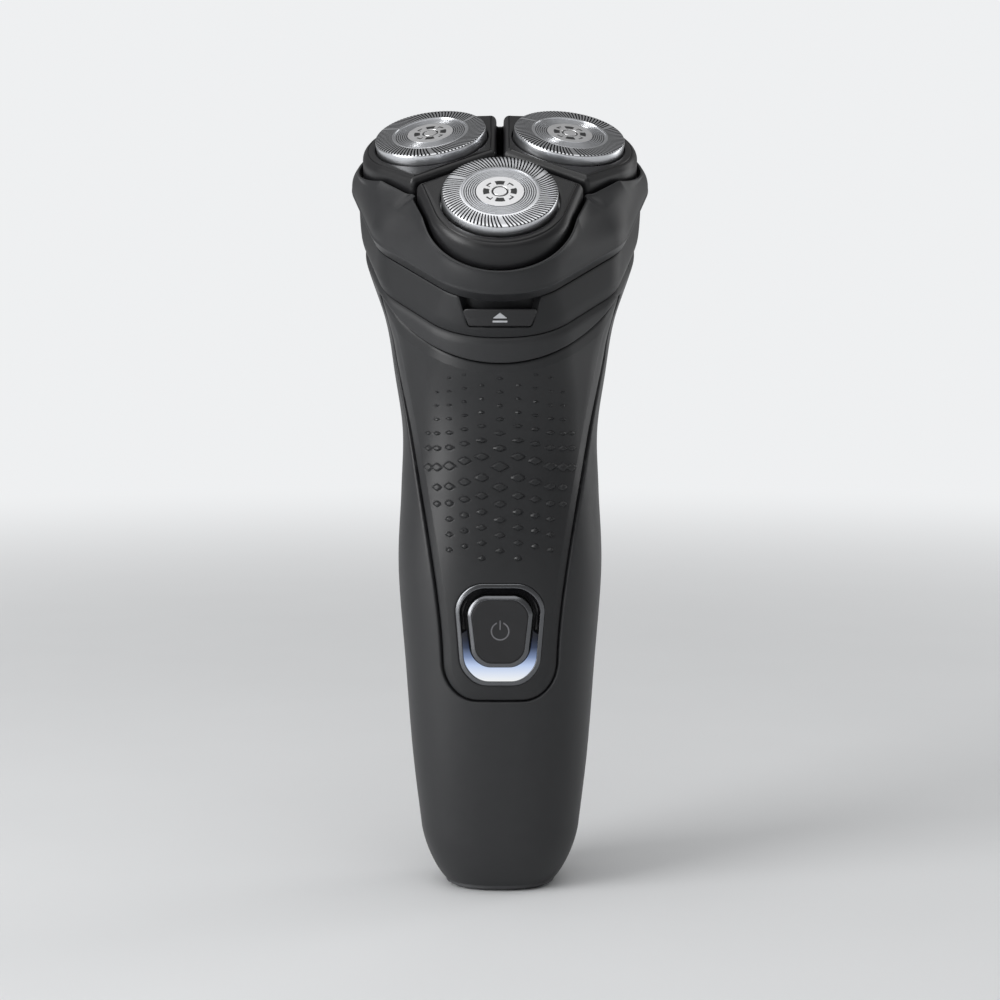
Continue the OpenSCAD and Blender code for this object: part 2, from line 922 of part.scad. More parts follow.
module spindle_spring(i) {
  color(c_steel)
    in_drive(i)
      translate([0, 0, hex_top + 0.05])
        coil_spring(1.1, spring_wire, 4, sleeve_top - 0.6 - hex_top - 0.1);
}

// ---- Shaving unit ----
pod_bottom = -cap_rise - pod_h;
pod_corner_x = 15;
pod_corner_r = 1.2;
pod_apex_r = 0.8;

// Where a circle of radius r at x stands so that it keeps half the split from the next holder,
// at depth d below the cap's top
function pod_edge_y(x, r, d) =
  (cap_ring_r + d * sin(cap_lean) - (pod_split / 2 + r + x / 2) / cos(30)) / cos(cap_lean);

// The outside runs along the head's axis, so it drifts outwards below the leaning cap
function pod_drift(d) = (d + cap_rise) * tan(cap_lean);

// Outline of a cap holder at depth d: round outside, two flat sides towards its neighbours
module pod_outline(d, grow = 0) {
  hull() {
    translate([0, pod_drift(d)])
      intersection() {
        circle(pod_r + grow, $fn = 72);
        translate([-big / 2, -big]) square(big);
      }
    for (s = [-1, 1])
      translate([s * pod_corner_x, pod_edge_y(pod_corner_x, pod_corner_r, d)])
        circle(pod_corner_r + grow, $fn = 24);
    translate([0, pod_edge_y(0, pod_apex_r, d)]) circle(pod_apex_r + grow, $fn = 16);
  }
}

cap_gap = 0.3;
flange_d = cap_d + 1.5;
flange_t = 0.5;
shoulder_d = -3.6;
flange_top = shoulder_d - 0.3;
tilt_axis_d = -9.4;
trunnion_r = 0.8;
trunnion_in = 10.5;
trunnion_out = 12.2;
ear_t = 1.4;
// Depth below the holder's top and how far the outline is drawn in there
pod_steps = [[0.01, 1.4], [0.2, 0.85], [0.6, 0.35], [1.5, 0], [pod_h, 0]];

module cap_holder(i) {
  color(c_plastic)
    in_pod(i)
      difference() {
        union() {
          hull() {
            for (step = pod_steps)
              translate([0, 0, -cap_rise - step[0]])
                linear_extrude(0.01)
                  pod_outline(-cap_rise - step[0], -step[1]);
          }
          for (s = [-1, 1]) {
            translate([s * (trunnion_out + ear_t / 2), 0, (pod_bottom - 10.6) / 2])
              cube([ear_t, 3, 10.6 + pod_bottom + 0.1], center = true);
            translate([s * trunnion_in, 0, tilt_axis_d])
              rotate([0, 90 * s, 0])
                cylinder(r = trunnion_r, h = trunnion_out - trunnion_in + 0.1, $fn = round_fn);
          }
        }
        translate([0, 0, shoulder_d - 0.1]) cylinder(r = cap_d / 2 + cap_gap, h = 10, $fn = round_fn);
        translate([0, 0, pod_bottom - 0.1])
          cylinder(r = flange_d / 2 + cap_gap, h = shoulder_d - pod_bottom + 0.1, $fn = round_fn);
      }
}

ring_in_r = 9.4;
module retaining_ring(i) {
  color(c_inner)
    in_pod(i)
      translate([0, 0, pod_bottom + 0.1])
        difference() {
          cylinder(r = flange_d / 2 + cap_gap - 0.05, h = 0.8, $fn = round_fn);
          translate([0, 0, -1]) cylinder(r = ring_in_r, h = 3, $fn = round_fn);
        }
}

// Cap: a thin slotted ring round a dished centre, with a skirt and a flange
cap_t = 0.5;
cap_wall = 0.4;
slot_in = 0.69;
slot_out = 0.955;
slot_slant = 6;
groove_in = 0.43;
groove_out = 0.65;
groove_count = 5;
module shaving_cap(i) {
  r = cap_d / 2;
  color(c_steel)
    in_pod(i)
      union() {
        translate([0, 0, -cap_t])
          linear_extrude(cap_t)
            difference() {
              circle(r, $fn = round_fn);
              for (k = [0:slot_count - 1])
                rotate(360 * k / slot_count)
                  translate([r * (slot_in + slot_out) / 2, 0])
                    rotate(slot_slant)
                      square([r * (slot_out - slot_in), slot_w], center = true);
            }
        rotate_extrude($fn = round_fn)
          polygon([
            [r - cap_wall, -cap_t - 0.01], [r - cap_wall, flange_top - flange_t],
            [flange_d / 2, flange_top - flange_t], [flange_d / 2, flange_top],
            [r, flange_top], [r, -cap_t + 0.01], [r - cap_wall, -cap_t + 0.01]
          ]);
        for (k = [0:groove_count - 1])
          translate([0, 0, -0.01])
            difference() {
              cylinder(r = r * (groove_in + 0.05 * k) + 0.15, h = 0.11, $fn = round_fn);
              translate([0, 0, -1]) cylinder(r = r * (groove_in + 0.05 * k) - 0.15, h = 3, $fn = round_fn);
            }
      }
}

// Cutter: lamellae on a ring, carried by a hub with a slot for the spindle's head
blade_count = 15;
blade_top = -cap_t - 0.15;
blade_low = -3.1;
blade_out = 10.4;
blade_in = 7.8;
hub_r = 4.3;
hub_low = -10.2;
slot_gap = 0.8;
module cutter(i) {
  color(c_steel)
    in_pod(i)
      difference() {
        union() {
          for (k = [0:blade_count - 1])
            rotate([0, 0, 360 * k / blade_count])
              translate([blade_in, -0.25, blade_low - 0.1])
                cube([blade_out - blade_in, 0.5, blade_top - blade_low + 0.1]);
          translate([0, 0, blade_low - 0.7])
            difference() {
              cylinder(r = blade_out, h = 0.7, $fn = round_fn);
              translate([0, 0, -1]) cylinder(r = blade_in - 0.6, h = 3, $fn = round_fn);
            }
          for (k = [0:2])
            rotate([0, 0, 120 * k])
              translate([-1.5, 0, blade_low - 0.7])
                cube([3, blade_in, 0.7]);
          translate([0, 0, hub_low]) cylinder(r = hub_r, h = blade_low - hub_low, $fn = round_fn);
        }
        translate([-head_l / 2 - slot_gap, -head_w / 2 - slot_gap, hub_low - 1])
          cube([head_l + 2 * slot_gap, head_w + 2 * slot_gap, 3]);
      }
}

// Collar: a rounded triangle that rises between the cap holders
corner_ring_r = 19.6;
corner_h = -4.6;
rim_t = 0.7;
rim_d = -6.9;
rim_arc = 80;
rim_rise = 2.6;
belt_h = 2.4;
well_r = collar_l / 2 - collar_y - drive_ring_r - collar_wall;
chamfer = 1.1;
tilt_room = 1.4;
function collar_section(inset) = [
  for (p = unit_section(1)) [p[0] * (collar_w / 2 - inset), collar_y + p[1] * (collar_l / 2 - inset)]
];

// Depth of the collar's rim at an angle t from the outermost point of a holder
function rim_at(t) = rim_d + rim_rise * pow(t / rim_arc, 2);

module collar_form() {
  hull() {
    translate([0, 0, -collar_edge_h]) linear_extrude(belt_h) polygon(collar_section(0));
    for (i = [0:2]) {
      rotate([0, 0, 120 * i])
        translate([0, -cap_ring_r, 0])
          rotate([cap_lean, 0, 0])
            for (t = [-rim_arc:10:rim_arc])
              translate([0, pod_drift(rim_at(t)), rim_at(t)])
                rotate([0, 0, t])
                  translate([0, -pod_r - pod_gap - rim_t, 0])
                    sphere(0.05, $fn = 6);
      rotate([0, 0, 120 * i + 60])
        translate([0, -corner_ring_r, corner_h - 1.5])
          sphere(1.5, $fn = 16);
    }
  }
  hull() {
    translate([0, 0, -collar_edge_h]) linear_extrude(0.01) polygon(collar_section(0));
    translate([0, 0, -collar_base_h]) linear_extrude(0.01) polygon(collar_section(chamfer));
  }
}

module collar() {
  color(c_body)
    in_head()
      difference() {
        collar_form();
        for (i = [0:2]) {
          rotate([0, 0, 120 * i])
            translate([0, -cap_ring_r, 0])
              rotate([cap_lean, 0, 0])
                translate([0, 0, pod_bottom - tilt_room])
                  linear_extrude(20) pod_outline(pod_bottom, pod_gap);
          rotate([0, 0, 120 * i])
            translate([0, -drive_ring_r, -20])
              cylinder(r = well_r, h = 15, $fn = 48);
        }
        translate([0, 0, -10.4]) cylinder(r = corner_ring_r - 0.9, h = 20, $fn = 48);
        translate([0, 0, -20]) cylinder(r = 9, h = 20, $fn = 48);
        translate([-hinge_half - 0.4, block_front - rest_gap, hinge_h + lug_rise - 20])
          cube([2 * (hinge_half + 0.4), 20, 20]);
      }
}

// Plates inside the collar: the head frame carries the holders, the other one closes it
frame_top = -11.2;
frame_t = 1.4;
hatch_top = frame_top - frame_t - 0.1;
hatch_t = 1.4;
lock_shaft_r = 1.5;
frame_hole_r = 7.2;
module collar_plate(t, hole_r) {
  difference() {
    union() {
      cylinder(r = 9 - rest_gap, h = t, $fn = round_fn);
      for (i = [0:2])
        rotate([0, 0, 120 * i])
          translate([0, -drive_ring_r, 0])
            cylinder(r = well_r - rest_gap, h = t, $fn = round_fn);
    }
    for (i = [0:2])
      rotate([0, 0, 120 * i])
        translate([0, -drive_ring_r, -1])
          cylinder(r = hole_r, h = t + 2, $fn = round_fn);
    translate([0, 0, -1]) cylinder(r = lock_shaft_r + run_fit, h = t + 2, $fn = round_fn);
  }
}

key_l = 6.8;
key_w = 2.2;
post_t = 1.3;
module head_frame() {
  color(c_inner)
    union() {
      in_head()
        translate([0, 0, frame_top - frame_t])
          difference() {
            collar_plate(frame_t, frame_hole_r);
            translate([-key_w / 2 - 0.4, -key_l / 2 - 0.4, -1])
              cube([key_w + 0.8, key_l + 0.8, frame_t + 2]);
          }
      for (i = [0:2])
        in_pod(i)
          for (s = [-1, 1])
            translate([s * (trunnion_in + 0.1 + post_t / 2), 0, tilt_axis_d])
              rotate([0, 90, 0])
                difference() {
                  union() {
                    cylinder(r = 1.6, h = post_t, center = true, $fn = round_fn);
                    translate([0, -1.6, -post_t / 2])
                      cube([-frame_top + tilt_axis_d + 1.2, 3.2, post_t]);
                  }
                  cylinder(r = trunnion_r + run_fit, h = post_t + 2, center = true, $fn = round_fn);
                }
    }
}

module retaining_frame() {
  color(c_inner)
    in_head()
      translate([0, 0, hatch_top - hatch_t])
        collar_plate(hatch_t, frame_hole_r - 1);
}

knob_r = 5;
knob_t = 1.2;
module lock_wheel() {
  knob_top = hatch_top - hatch_t - 0.15;
  color("dimgray")
    in_head()
      union() {
        translate([0, 0, knob_top - knob_t])
          difference() {
            cylinder(r = knob_r, h = knob_t, $fn = round_fn);
            for (k = [0:7])
              rotate([0, 0, 45 * k])
                translate([knob_r + 0.5, 0, -1])
                  cylinder(r = 1.1, h = knob_t + 2, $fn = 24);
          }
        translate([0, 0, knob_top - 0.1])
          cylinder(r = lock_shaft_r, h = frame_top - knob_top + 0.4, $fn = round_fn);
        translate([-key_l / 2, -key_w / 2, frame_top + 0.2]) cube([key_l, key_w, 0.8]);
      }
}

// ---- Hinge of the shaving unit ----
module at_hinge() {
  in_head()
    translate([0, hinge_y, hinge_h])
      children();
}

module barrel(x0, x1, r) {
  translate([x0, 0, 0])
    rotate([0, 90, 0])
      cylinder(r = r, h = x1 - x0, $fn = round_fn);
}

module hinge_lug() {
  color(c_plastic)
    at_hinge()
      difference() {
        union() {
          barrel(-lug_half, lug_half, hinge_r);
          translate([-lug_half, -4.2, 0.3]) cube([2 * lug_half, 4.2, lug_rise - 0.3]);
        }
        barrel(-lug_half - 1, lug_half + 1, hinge_pin_r + run_fit);
      }
}

module hinge_block() {
  color(c_plastic)
    at_hinge()
      difference() {
        union() {
          for (s = [-1, 1])
            translate([s * (hinge_half + lug_half + rest_gap) / 2, 0, 0]) {
              w = hinge_half - lug_half - rest_gap;
              barrel(-w / 2, w / 2, hinge_r);
              translate([-w / 2, block_front - hinge_y, -2.4]) cube([w, hinge_y - block_front, 2]);
              translate([-w / 2, -hinge_r, -2.4]) cube([w, hinge_r, 2.4]);
            }
          translate([-hinge_half, block_front - hinge_y, -block_low])
            cube([2 * hinge_half, 3.6, 2]);
        }
        barrel(-hinge_half - 1, hinge_half + 1, hinge_pin_r);
      }
}

module hinge_pin() {
  color(c_steel)
    at_hinge()
      barrel(-hinge_half, hinge_half, hinge_pin_r);
}

// ---- Foot, charging inlet and power ----
module foot_insert() {
  color([0.24, 0.24, 0.25])
    difference() {
      union() {
        linear_extrude(foot_t / 2 + 0.01)
          polygon([for (p = unit_section(0)) [p[0] * (foot_w / 2 + 0.4), p[1] * (foot_d / 2 + 0.3)]]);
        translate([0, 0, foot_t / 2])
          linear_extrude(foot_t / 2)
            polygon([for (p = unit_section(0)) [p[0] * (foot_w / 2 + 1.7), p[1] * (foot_d / 2 + 1.3)]]);
      }
      translate([0, 0, -1]) inlet_recess(foot_t + 2);
    }
}

module inlet_recess(h) {
  linear_extrude(h) {
    square([inlet_w - inlet_d, inlet_d], center = true);
    for (s = [-1, 1])
      translate([s * (inlet_w - inlet_d) / 2, 0]) circle(d = inlet_d, $fn = round_fn);
  }
}

inlet_top = inlet_h + 2.6;
pin_collar_r = inlet_pin_r + 0.2;
module charging_inlet() {
  color(c_plastic)
    difference() {
      translate([-inlet_w / 2 - 1.8, -inlet_d / 2 - 2, foot_t])
        cube([inlet_w + 3.6, inlet_d + 4, inlet_top - foot_t]);
      translate([0, 0, -1]) inlet_recess(inlet_h + 1);
      for (s = [-1, 1])
        translate([s * inlet_pitch / 2, 0, 0]) cylinder(r = pin_collar_r, h = 20, $fn = round_fn);
    }
}

module inlet_pins() {
  color(c_steel)
    for (s = [-1, 1])
      translate([s * inlet_pitch / 2, 0, 0])
        union() {
          translate([0, 0, inlet_h - inlet_pin_l]) cylinder(r = inlet_pin_r, h = inlet_pin_l, $fn = round_fn);
          translate([0, 0, inlet_h]) cylinder(r = pin_collar_r, h = inlet_top - inlet_h, $fn = round_fn);
        }
}

cell_y = 3.2;
cell_low = inlet_top + 2.8;
module battery() {
  color("seagreen")
    translate([0, cell_y, cell_low])
      union() {
        cylinder(d = cell_d, h = cell_l - 1, $fn = round_fn);
        cylinder(r = 2.6, h = cell_l, $fn = round_fn);
      }
}

tab_t = 0.4;
module battery_tabs() {
  color(c_steel)
    for (z = [cell_low - tab_t, cell_low + cell_l])
      translate([-2.5, board_y + 1.6, z])
        cube([5, cell_y - board_y + 1.4, tab_t]);
}

chassis_t = 1.6;
chassis_top = screw_z + 4;
chassis_margin = 5.4;
cradle_gap = 0.15;
screw_l = 11;
module chassis() {
  rows = concat(
    [[inlet_w / 2 + 1.8, inlet_top]],
    [
      for (f = [0.25:0.25:1])
        let (z = inlet_top + f * (chassis_top - inlet_top))
        [grip_half(z) - chassis_margin, z]
    ]
  );
  color(c_inner)
    difference() {
      union() {
        front_prism(board_y, board_y + chassis_t)
          polygon(concat([for (p = rows) [-p[0], p[1]]], [for (k = [len(rows) - 1:-1:0]) rows[k]]));
        for (f = [0.15, 0.8])
          translate([-cell_d / 2 - 2, board_y + chassis_t - 0.1, cell_low + f * cell_l])
            cube([cell_d + 4, cell_y - board_y + 1.5, 3]);
        at_screws(board_y + chassis_t - 0.1)
          cylinder(r = boss_r, h = boss_end - board_y - chassis_t + 0.1, $fn = round_fn);
        translate([-inlet_w / 2, board_y, inlet_top])
          cube([inlet_w, inlet_d / 2 - board_y, chassis_t]);
      }
      translate([0, cell_y, 0])
        cylinder(d = cell_d + 2 * cradle_gap, h = cell_low + cell_l + 0.2, $fn = round_fn);
      at_screws(0) cylinder(r = screw_r, h = 40, $fn = round_fn);
    }
}

module housing_screws() {
  color(c_steel)
    at_screws(head_seat)
      union() {
        difference() {
          cylinder(r = screw_head_r, h = 1.4, $fn = round_fn);
          translate([-0.3, -1.4, 0.9]) cube([0.6, 2.8, 1]);
          translate([-1.4, -0.3, 0.9]) cube([2.8, 0.6, 1]);
        }
        translate([0, 0, -screw_l]) cylinder(r = screw_r - 0.02, h = screw_l + 0.1, $fn = round_fn);
      }
}

board_half = 9.5;
board_low = cell_low + 5;
board_top = screw_z - 4;
module circuit_board() {
  color("darkgreen")
    difference() {
      front_prism(board_front, board_y)
        translate([-board_half, board_low]) square([2 * board_half, board_top - board_low]);
      for (s = [-1, 1])
        translate([s * (board_half - 2), board_front - 1, board_top - 3])
          rotate([-90, 0, 0])
            cylinder(r = 1.1, h = 5, $fn = 24);
    }
}

// Components on the board: [x, height above the board's end, width, height, thickness]
chips = [
  [-6, 44, 5, 5, 1], [2, 46, 7, 4, 1.6], [-6.5, 16, 4, 6, 1.2], [3, 14, 5, 3, 1], [-3, 6, 6, 3.4, 1.8]
];
module board_components() {
  color("dimgray")
    union() {
      for (c = chips)
        translate([c[0], board_front - c[4], board_low + c[1]]) cube([c[2], c[4], c[3]]);
      translate([5, board_front - 2.2, board_low + 8])
        rotate([-90, 0, 0])
          cylinder(r = 2.4, h = 2.2, $fn = round_fn);
    }
}

module status_leds() {
  color("white")
    for (s = [-1, 1])
      translate([s * leg_x - leg_r, board_front - led_t, glow_mid - leg_r])
        cube([2 * leg_r, led_t, 2 * leg_r]);
}

// ---- The assembly ----
front_housing();
rear_housing();
front_panel();
neck_shell();
foot_insert();
switch_bezel();
light_ring();
power_button();
switch_plunger();
release_button();
release_spring();
charging_inlet();
inlet_pins();
battery();
battery_tabs();
chassis();
circuit_board();
board_components();
tactile_switch();
status_leds();
housing_screws();
chamber_floor();
chamber_seal();
spindle_seals();
gear_plate();
gearbox_screws();
motor_can();
armature();
motor_shaft();
motor_pinion();
idler_gear();
drive_gear(0);  // drive_gear_front
drive_gear(1);  // drive_gear_right
drive_gear(2);  // drive_gear_left
drive_spindle(0);  // drive_spindle_front
drive_spindle(1);  // drive_spindle_right
drive_spindle(2);  // drive_spindle_left
spindle_spring(0);  // spindle_spring_front
spindle_spring(1);  // spindle_spring_right
spindle_spring(2);  // spindle_spring_left
hinge_block();
hinge_pin();
hinge_lug();
collar();
head_frame();
retaining_frame();
lock_wheel();
cap_holder(0);  // cap_holder_front
cap_holder(1);  // cap_holder_right
cap_holder(2);  // cap_holder_left
retaining_ring(0);  // retaining_ring_front
retaining_ring(1);  // retaining_ring_right
retaining_ring(2);  // retaining_ring_left
shaving_cap(0);  // shaving_cap_front
shaving_cap(1);  // shaving_cap_right
shaving_cap(2);  // shaving_cap_left
cutter(0);  // cutter_front
cutter(1);  // cutter_right
cutter(2);  // cutter_left
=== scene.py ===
import math
import bpy
import numpy as np
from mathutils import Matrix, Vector


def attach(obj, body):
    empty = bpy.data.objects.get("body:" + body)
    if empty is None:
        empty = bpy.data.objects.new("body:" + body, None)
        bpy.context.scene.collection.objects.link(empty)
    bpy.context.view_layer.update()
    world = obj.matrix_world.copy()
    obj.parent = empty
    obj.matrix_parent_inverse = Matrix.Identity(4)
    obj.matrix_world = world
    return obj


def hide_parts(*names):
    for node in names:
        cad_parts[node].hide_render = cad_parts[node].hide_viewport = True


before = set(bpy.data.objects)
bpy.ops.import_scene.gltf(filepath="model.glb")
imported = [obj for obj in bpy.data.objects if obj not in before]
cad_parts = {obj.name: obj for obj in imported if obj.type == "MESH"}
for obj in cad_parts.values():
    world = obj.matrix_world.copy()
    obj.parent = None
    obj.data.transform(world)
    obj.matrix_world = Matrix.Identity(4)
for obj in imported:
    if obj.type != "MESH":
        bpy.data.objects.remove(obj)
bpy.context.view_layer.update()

MM = 0.001
SIDES = ("front", "right", "left")
scene = bpy.context.scene


def add(name, data):
    """A new object in the scene."""
    obj = bpy.data.objects.new(name, data)
    scene.collection.objects.link(obj)
    return obj


# -------- camera and light
TARGET = Vector((0, 0, 0.0793))
DISTANCE = 0.42
ELEVATION = math.radians(6)
camera_data = bpy.data.cameras.new("camera")
camera_data.lens = 74.1
camera_data.sensor_width = 36
camera_data.clip_start = 0.01
camera_data.clip_end = 20
camera = add("camera", camera_data)
camera.location = TARGET + DISTANCE * Vector((0, -math.cos(ELEVATION), math.sin(ELEVATION)))
camera.rotation_euler = (math.pi / 2 - ELEVATION, 0, 0)
scene.camera = camera
scene.view_settings.view_transform = "Standard"


def area_light(name, place, aim, size, watts):
    data = bpy.data.lights.new(name, "AREA")
    data.shape = "RECTANGLE"
    data.size, data.size_y = size
    data.energy = watts
    lamp = add(name, data)
    lamp.location = place
    lamp.rotation_euler = (Vector(aim) - Vector(place)).to_track_quat("-Z", "Y").to_euler()


area_light("key", (-0.75, -0.45, 0.3), (0, 0, 0.08), (0.45, 0.8), 8.0)
area_light("rim", (0.6, 0.3, 0.25), (0, 0, 0.09), (0.25, 0.7), 1.0)
area_light("top", (-0.1, -0.25, 0.85), (0, 0, 0.12), (1.1, 0.9), 4.2)


# -------- materials
def new_material(name, base, rough, metallic=0.0, specular=None):
    m = bpy.data.materials.new(name)
    m.use_nodes = True
    b = m.node_tree.nodes["Principled BSDF"]
    b.inputs["Base Color"].default_value = (*base, 1)
    b.inputs["Roughness"].default_value = rough
    b.inputs["Metallic"].default_value = metallic
    if specular is not None:
        b.inputs["Specular IOR Level"].default_value = specular
    return m, m.node_tree, b


def node(tree, kind, **values):
    """A shader node; values are constants or links for its sockets, _ for a space, or else settings."""
    n = tree.nodes.new(kind)
    for key, value in values.items():
        socket = key.replace("_", " ")
        if socket not in n.inputs:
            setattr(n, key, value)
        elif isinstance(value, bpy.types.NodeSocket):
            tree.links.new(value, n.inputs[socket])
        else:
            n.inputs[socket].default_value = value
    return n


# Dim, even light from all round; what the camera sees past the floor is the backdrop's tone
BACKDROP = (0.86, 0.87, 0.88, 1)
WORLD_LIGHT = 0.28
world = bpy.data.worlds.new("studio")
scene.world = world
world.use_nodes = True
sky = world.node_tree
sky.nodes.clear()
sky_light = node(sky, "ShaderNodeBackground", Color=(1, 1, 1, 1), Strength=WORLD_LIGHT)
sky_seen = node(sky, "ShaderNodeBackground", Color=BACKDROP, Strength=1.0)
sky_path = node(sky, "ShaderNodeLightPath")
sky_mix = node(sky, "ShaderNodeMixShader", Fac=sky_path.outputs["Is Camera Ray"])
sky.links.new(sky_light.outputs[0], sky_mix.inputs[1])
sky.links.new(sky_seen.outputs[0], sky_mix.inputs[2])
node(sky, "ShaderNodeOutputWorld", Surface=sky_mix.outputs[0])


WIDE_NOISE = 14.0       # how much coarser the colour's noise is than the bump's


def grain(tree, b, scale, strength, distance, rough=None, colour=None, stretch=None):
    """Fine noise that drives bump, and a little of the roughness and colour."""
    source = node(tree, "ShaderNodeTexCoord").outputs["Object"]
    if stretch:
        source = node(tree, "ShaderNodeMapping", Scale=stretch, Vector=source).outputs["Vector"]
    noise = node(tree, "ShaderNodeTexNoise", Scale=scale, Detail=3.0, Vector=source)
    bump = node(tree, "ShaderNodeBump", Strength=strength, Distance=distance, Height=noise.outputs["Fac"])
    tree.links.new(bump.outputs["Normal"], b.inputs["Normal"])
    wide = node(tree, "ShaderNodeTexNoise", Scale=scale / WIDE_NOISE, Detail=2.0, Vector=source)
    share = wide.outputs["Fac"]
    if rough:
        ramp = node(tree, "ShaderNodeMapRange", To_Min=rough[0], To_Max=rough[1], Value=share)
        tree.links.new(ramp.outputs["Result"], b.inputs["Roughness"])
    if colour:
        mix = node(tree, "ShaderNodeMix", data_type="RGBA", Factor=share,
                   A=(*colour[0], 1), B=(*colour[1], 1))
        tree.links.new(mix.outputs["Result"], b.inputs["Base Color"])


PLASTIC_GRAIN, METAL_GRAIN = 0.00003, 0.00002       # bump heights in metres


def plastic(name, dark, light, rough, scale=5200, strength=0.25, specular=0.5):
    m, tree, b = new_material(name, dark, rough[0], specular=specular)
    grain(tree, b, scale, strength, PLASTIC_GRAIN, rough=rough, colour=(dark, light))
    return m


M_body = plastic("body_plastic", (0.017, 0.0175, 0.019), (0.022, 0.0225, 0.024),
                 (0.44, 0.52), specular=0.4)
M_panel = plastic("panel_plastic", (0.011, 0.0115, 0.0125), (0.015, 0.0155, 0.017),
                  (0.4, 0.48), specular=0.4)
M_pod = plastic("holder_plastic", (0.008, 0.008, 0.009), (0.011, 0.011, 0.012),
                (0.34, 0.42), strength=0.15, specular=0.4)
M_button = plastic("button_plastic", (0.012, 0.012, 0.013), (0.016, 0.016, 0.0175),
                   (0.36, 0.44), specular=0.4)
# The foot's plastic is a lighter grey than the body's; part of that lightness is painted highlight, for the
# lit band along the bottom edge.
M_foot_and_highlight = plastic("foot_plastic_and_highlight", (0.04, 0.041, 0.044), (0.05, 0.051, 0.054), (0.5, 0.6))
M_gloss = plastic("gloss_black", (0.006, 0.006, 0.007), (0.008, 0.008, 0.009),
                  (0.07, 0.12), strength=0.03)
M_inner = plastic("inner_plastic", (0.3, 0.31, 0.33), (0.36, 0.37, 0.39), (0.45, 0.55), scale=2500)
M_black = plastic("black_plastic", (0.022, 0.022, 0.024), (0.028, 0.028, 0.031), (0.48, 0.58))
M_gear = plastic("gear_plastic", (0.74, 0.73, 0.68), (0.8, 0.79, 0.74), (0.38, 0.46), scale=2500)
M_rubber = plastic("seal_rubber", (0.016, 0.016, 0.017), (0.022, 0.022, 0.023),
                   (0.7, 0.8), strength=0.4)
M_board = plastic("board_lacquer", (0.01, 0.075, 0.035), (0.014, 0.095, 0.045), (0.3, 0.42))
M_chip = plastic("chip_resin", (0.025, 0.025, 0.027), (0.035, 0.035, 0.037), (0.42, 0.55))
M_cell = plastic("cell_sleeve", (0.06, 0.22, 0.16), (0.07, 0.26, 0.19), (0.3, 0.4))
M_icon = plastic("icon_print", (0.42, 0.43, 0.45), (0.47, 0.48, 0.5), (0.45, 0.5))
M_icon_dim = plastic("icon_engraved", (0.12, 0.12, 0.13), (0.15, 0.15, 0.16), (0.35, 0.45))
# near-black paint for the cap's grooves, windows, hooks and centre ring: painted shade
M_cap_shade_paint = plastic("cap_painted_shade", (0.006, 0.006, 0.007), (0.01, 0.01, 0.011), (0.3, 0.4))
M_neck = plastic("neck_plastic", (0.01, 0.0105, 0.0115), (0.014, 0.0145, 0.016),
                 (0.42, 0.5), specular=0.36)
M_collar = plastic("collar_plastic", (0.015, 0.0155, 0.017), (0.02, 0.0205, 0.022),
                   (0.38, 0.46), specular=0.4)


def metal(name, colour, rough, scale=2600, strength=0.12, stretch=None):
    m, tree, b = new_material(name, colour, rough[0], metallic=1.0)
    pale = tuple(min(1.0, c * 1.08) for c in colour)
    grain(tree, b, scale, strength, METAL_GRAIN, rough=rough, colour=(colour, pale), stretch=stretch)
    return m


M_steel = metal("ground_steel", (0.6, 0.61, 0.63), (0.2, 0.32))
M_cap = metal("cap_steel", (0.6, 0.61, 0.63), (0.24, 0.34), scale=3600, strength=0.1)
M_cap_disc = metal("cap_disc", (0.76, 0.76, 0.77), (0.36, 0.46), scale=4200, strength=0.22)
# the cutter's steel is darkened as painted shade, seen through the foil's slots
M_cutter_shade = metal("cutter_steel_shaded", (0.16, 0.165, 0.175), (0.26, 0.36))
M_motor = metal("plated_steel", (0.5, 0.51, 0.53), (0.28, 0.4))
M_rim = metal("black_chrome", (0.13, 0.133, 0.14), (0.22, 0.3), strength=0.03)
# dark metal for the slots' walls and the foil's inside: painted shade
M_slot_shade = metal("slot_wall_shade", (0.1, 0.1, 0.11), (0.4, 0.5))
M_brass = metal("brass", (0.78, 0.58, 0.28), (0.22, 0.34))
M_copper = metal("copper_winding", (0.72, 0.33, 0.18), (0.3, 0.42), stretch=(1, 1, 9))

# Light guide: bright at the bottom of the ring, fading up its sides between two heights in metres
GLOW_FULL, GLOW_END, GLOW_STRENGTH = 0.045, 0.0542, 0.86
M_glow, glow_tree, glow_b = new_material("light_guide", (0.012, 0.013, 0.016), 0.2, specular=0.2)
glow_place = node(glow_tree, "ShaderNodeTexCoord").outputs["Object"]
glow_z = node(glow_tree, "ShaderNodeSeparateXYZ", Vector=glow_place).outputs["Z"]
glow_range = node(glow_tree, "ShaderNodeMapRange", From_Min=GLOW_FULL, From_Max=GLOW_END, Value=glow_z)
glow_ramp = node(glow_tree, "ShaderNodeValToRGB", Fac=glow_range.outputs["Result"])
stops = glow_ramp.color_ramp.elements
stops[0].position, stops[0].color = 0.0, (0.98, 1.0, 1.0, 1)
stops[1].position, stops[1].color = 1.0, (0.004, 0.005, 0.008, 1)
for at, red, green, blue in ((0.16, 0.8, 0.87, 1.0), (0.34, 0.56, 0.68, 0.94), (0.52, 0.2, 0.27, 0.45),
                             (0.72, 0.03, 0.045, 0.09), (0.88, 0.008, 0.012, 0.026)):
    stops.new(at).color = (red, green, blue, 1)
glow_tree.links.new(glow_ramp.outputs["Color"], glow_b.inputs["Emission Color"])
glow_b.inputs["Emission Strength"].default_value = GLOW_STRENGTH


# -------- mesh helpers (millimetres)
def vertex_normals(points, faces):
    """Unit normals of the points, each face weighed by its area."""
    n = np.zeros_like(points)
    for f in faces:
        a, b, c = points[f[0]], points[f[1]], points[f[2]]
        w = np.cross(c - a, points[f[3]] - b) if len(f) > 3 else np.cross(b - a, c - a)
        for i in f:
            n[i] += w
    return n / np.maximum(np.linalg.norm(n, axis=1, keepdims=True), 1e-12)


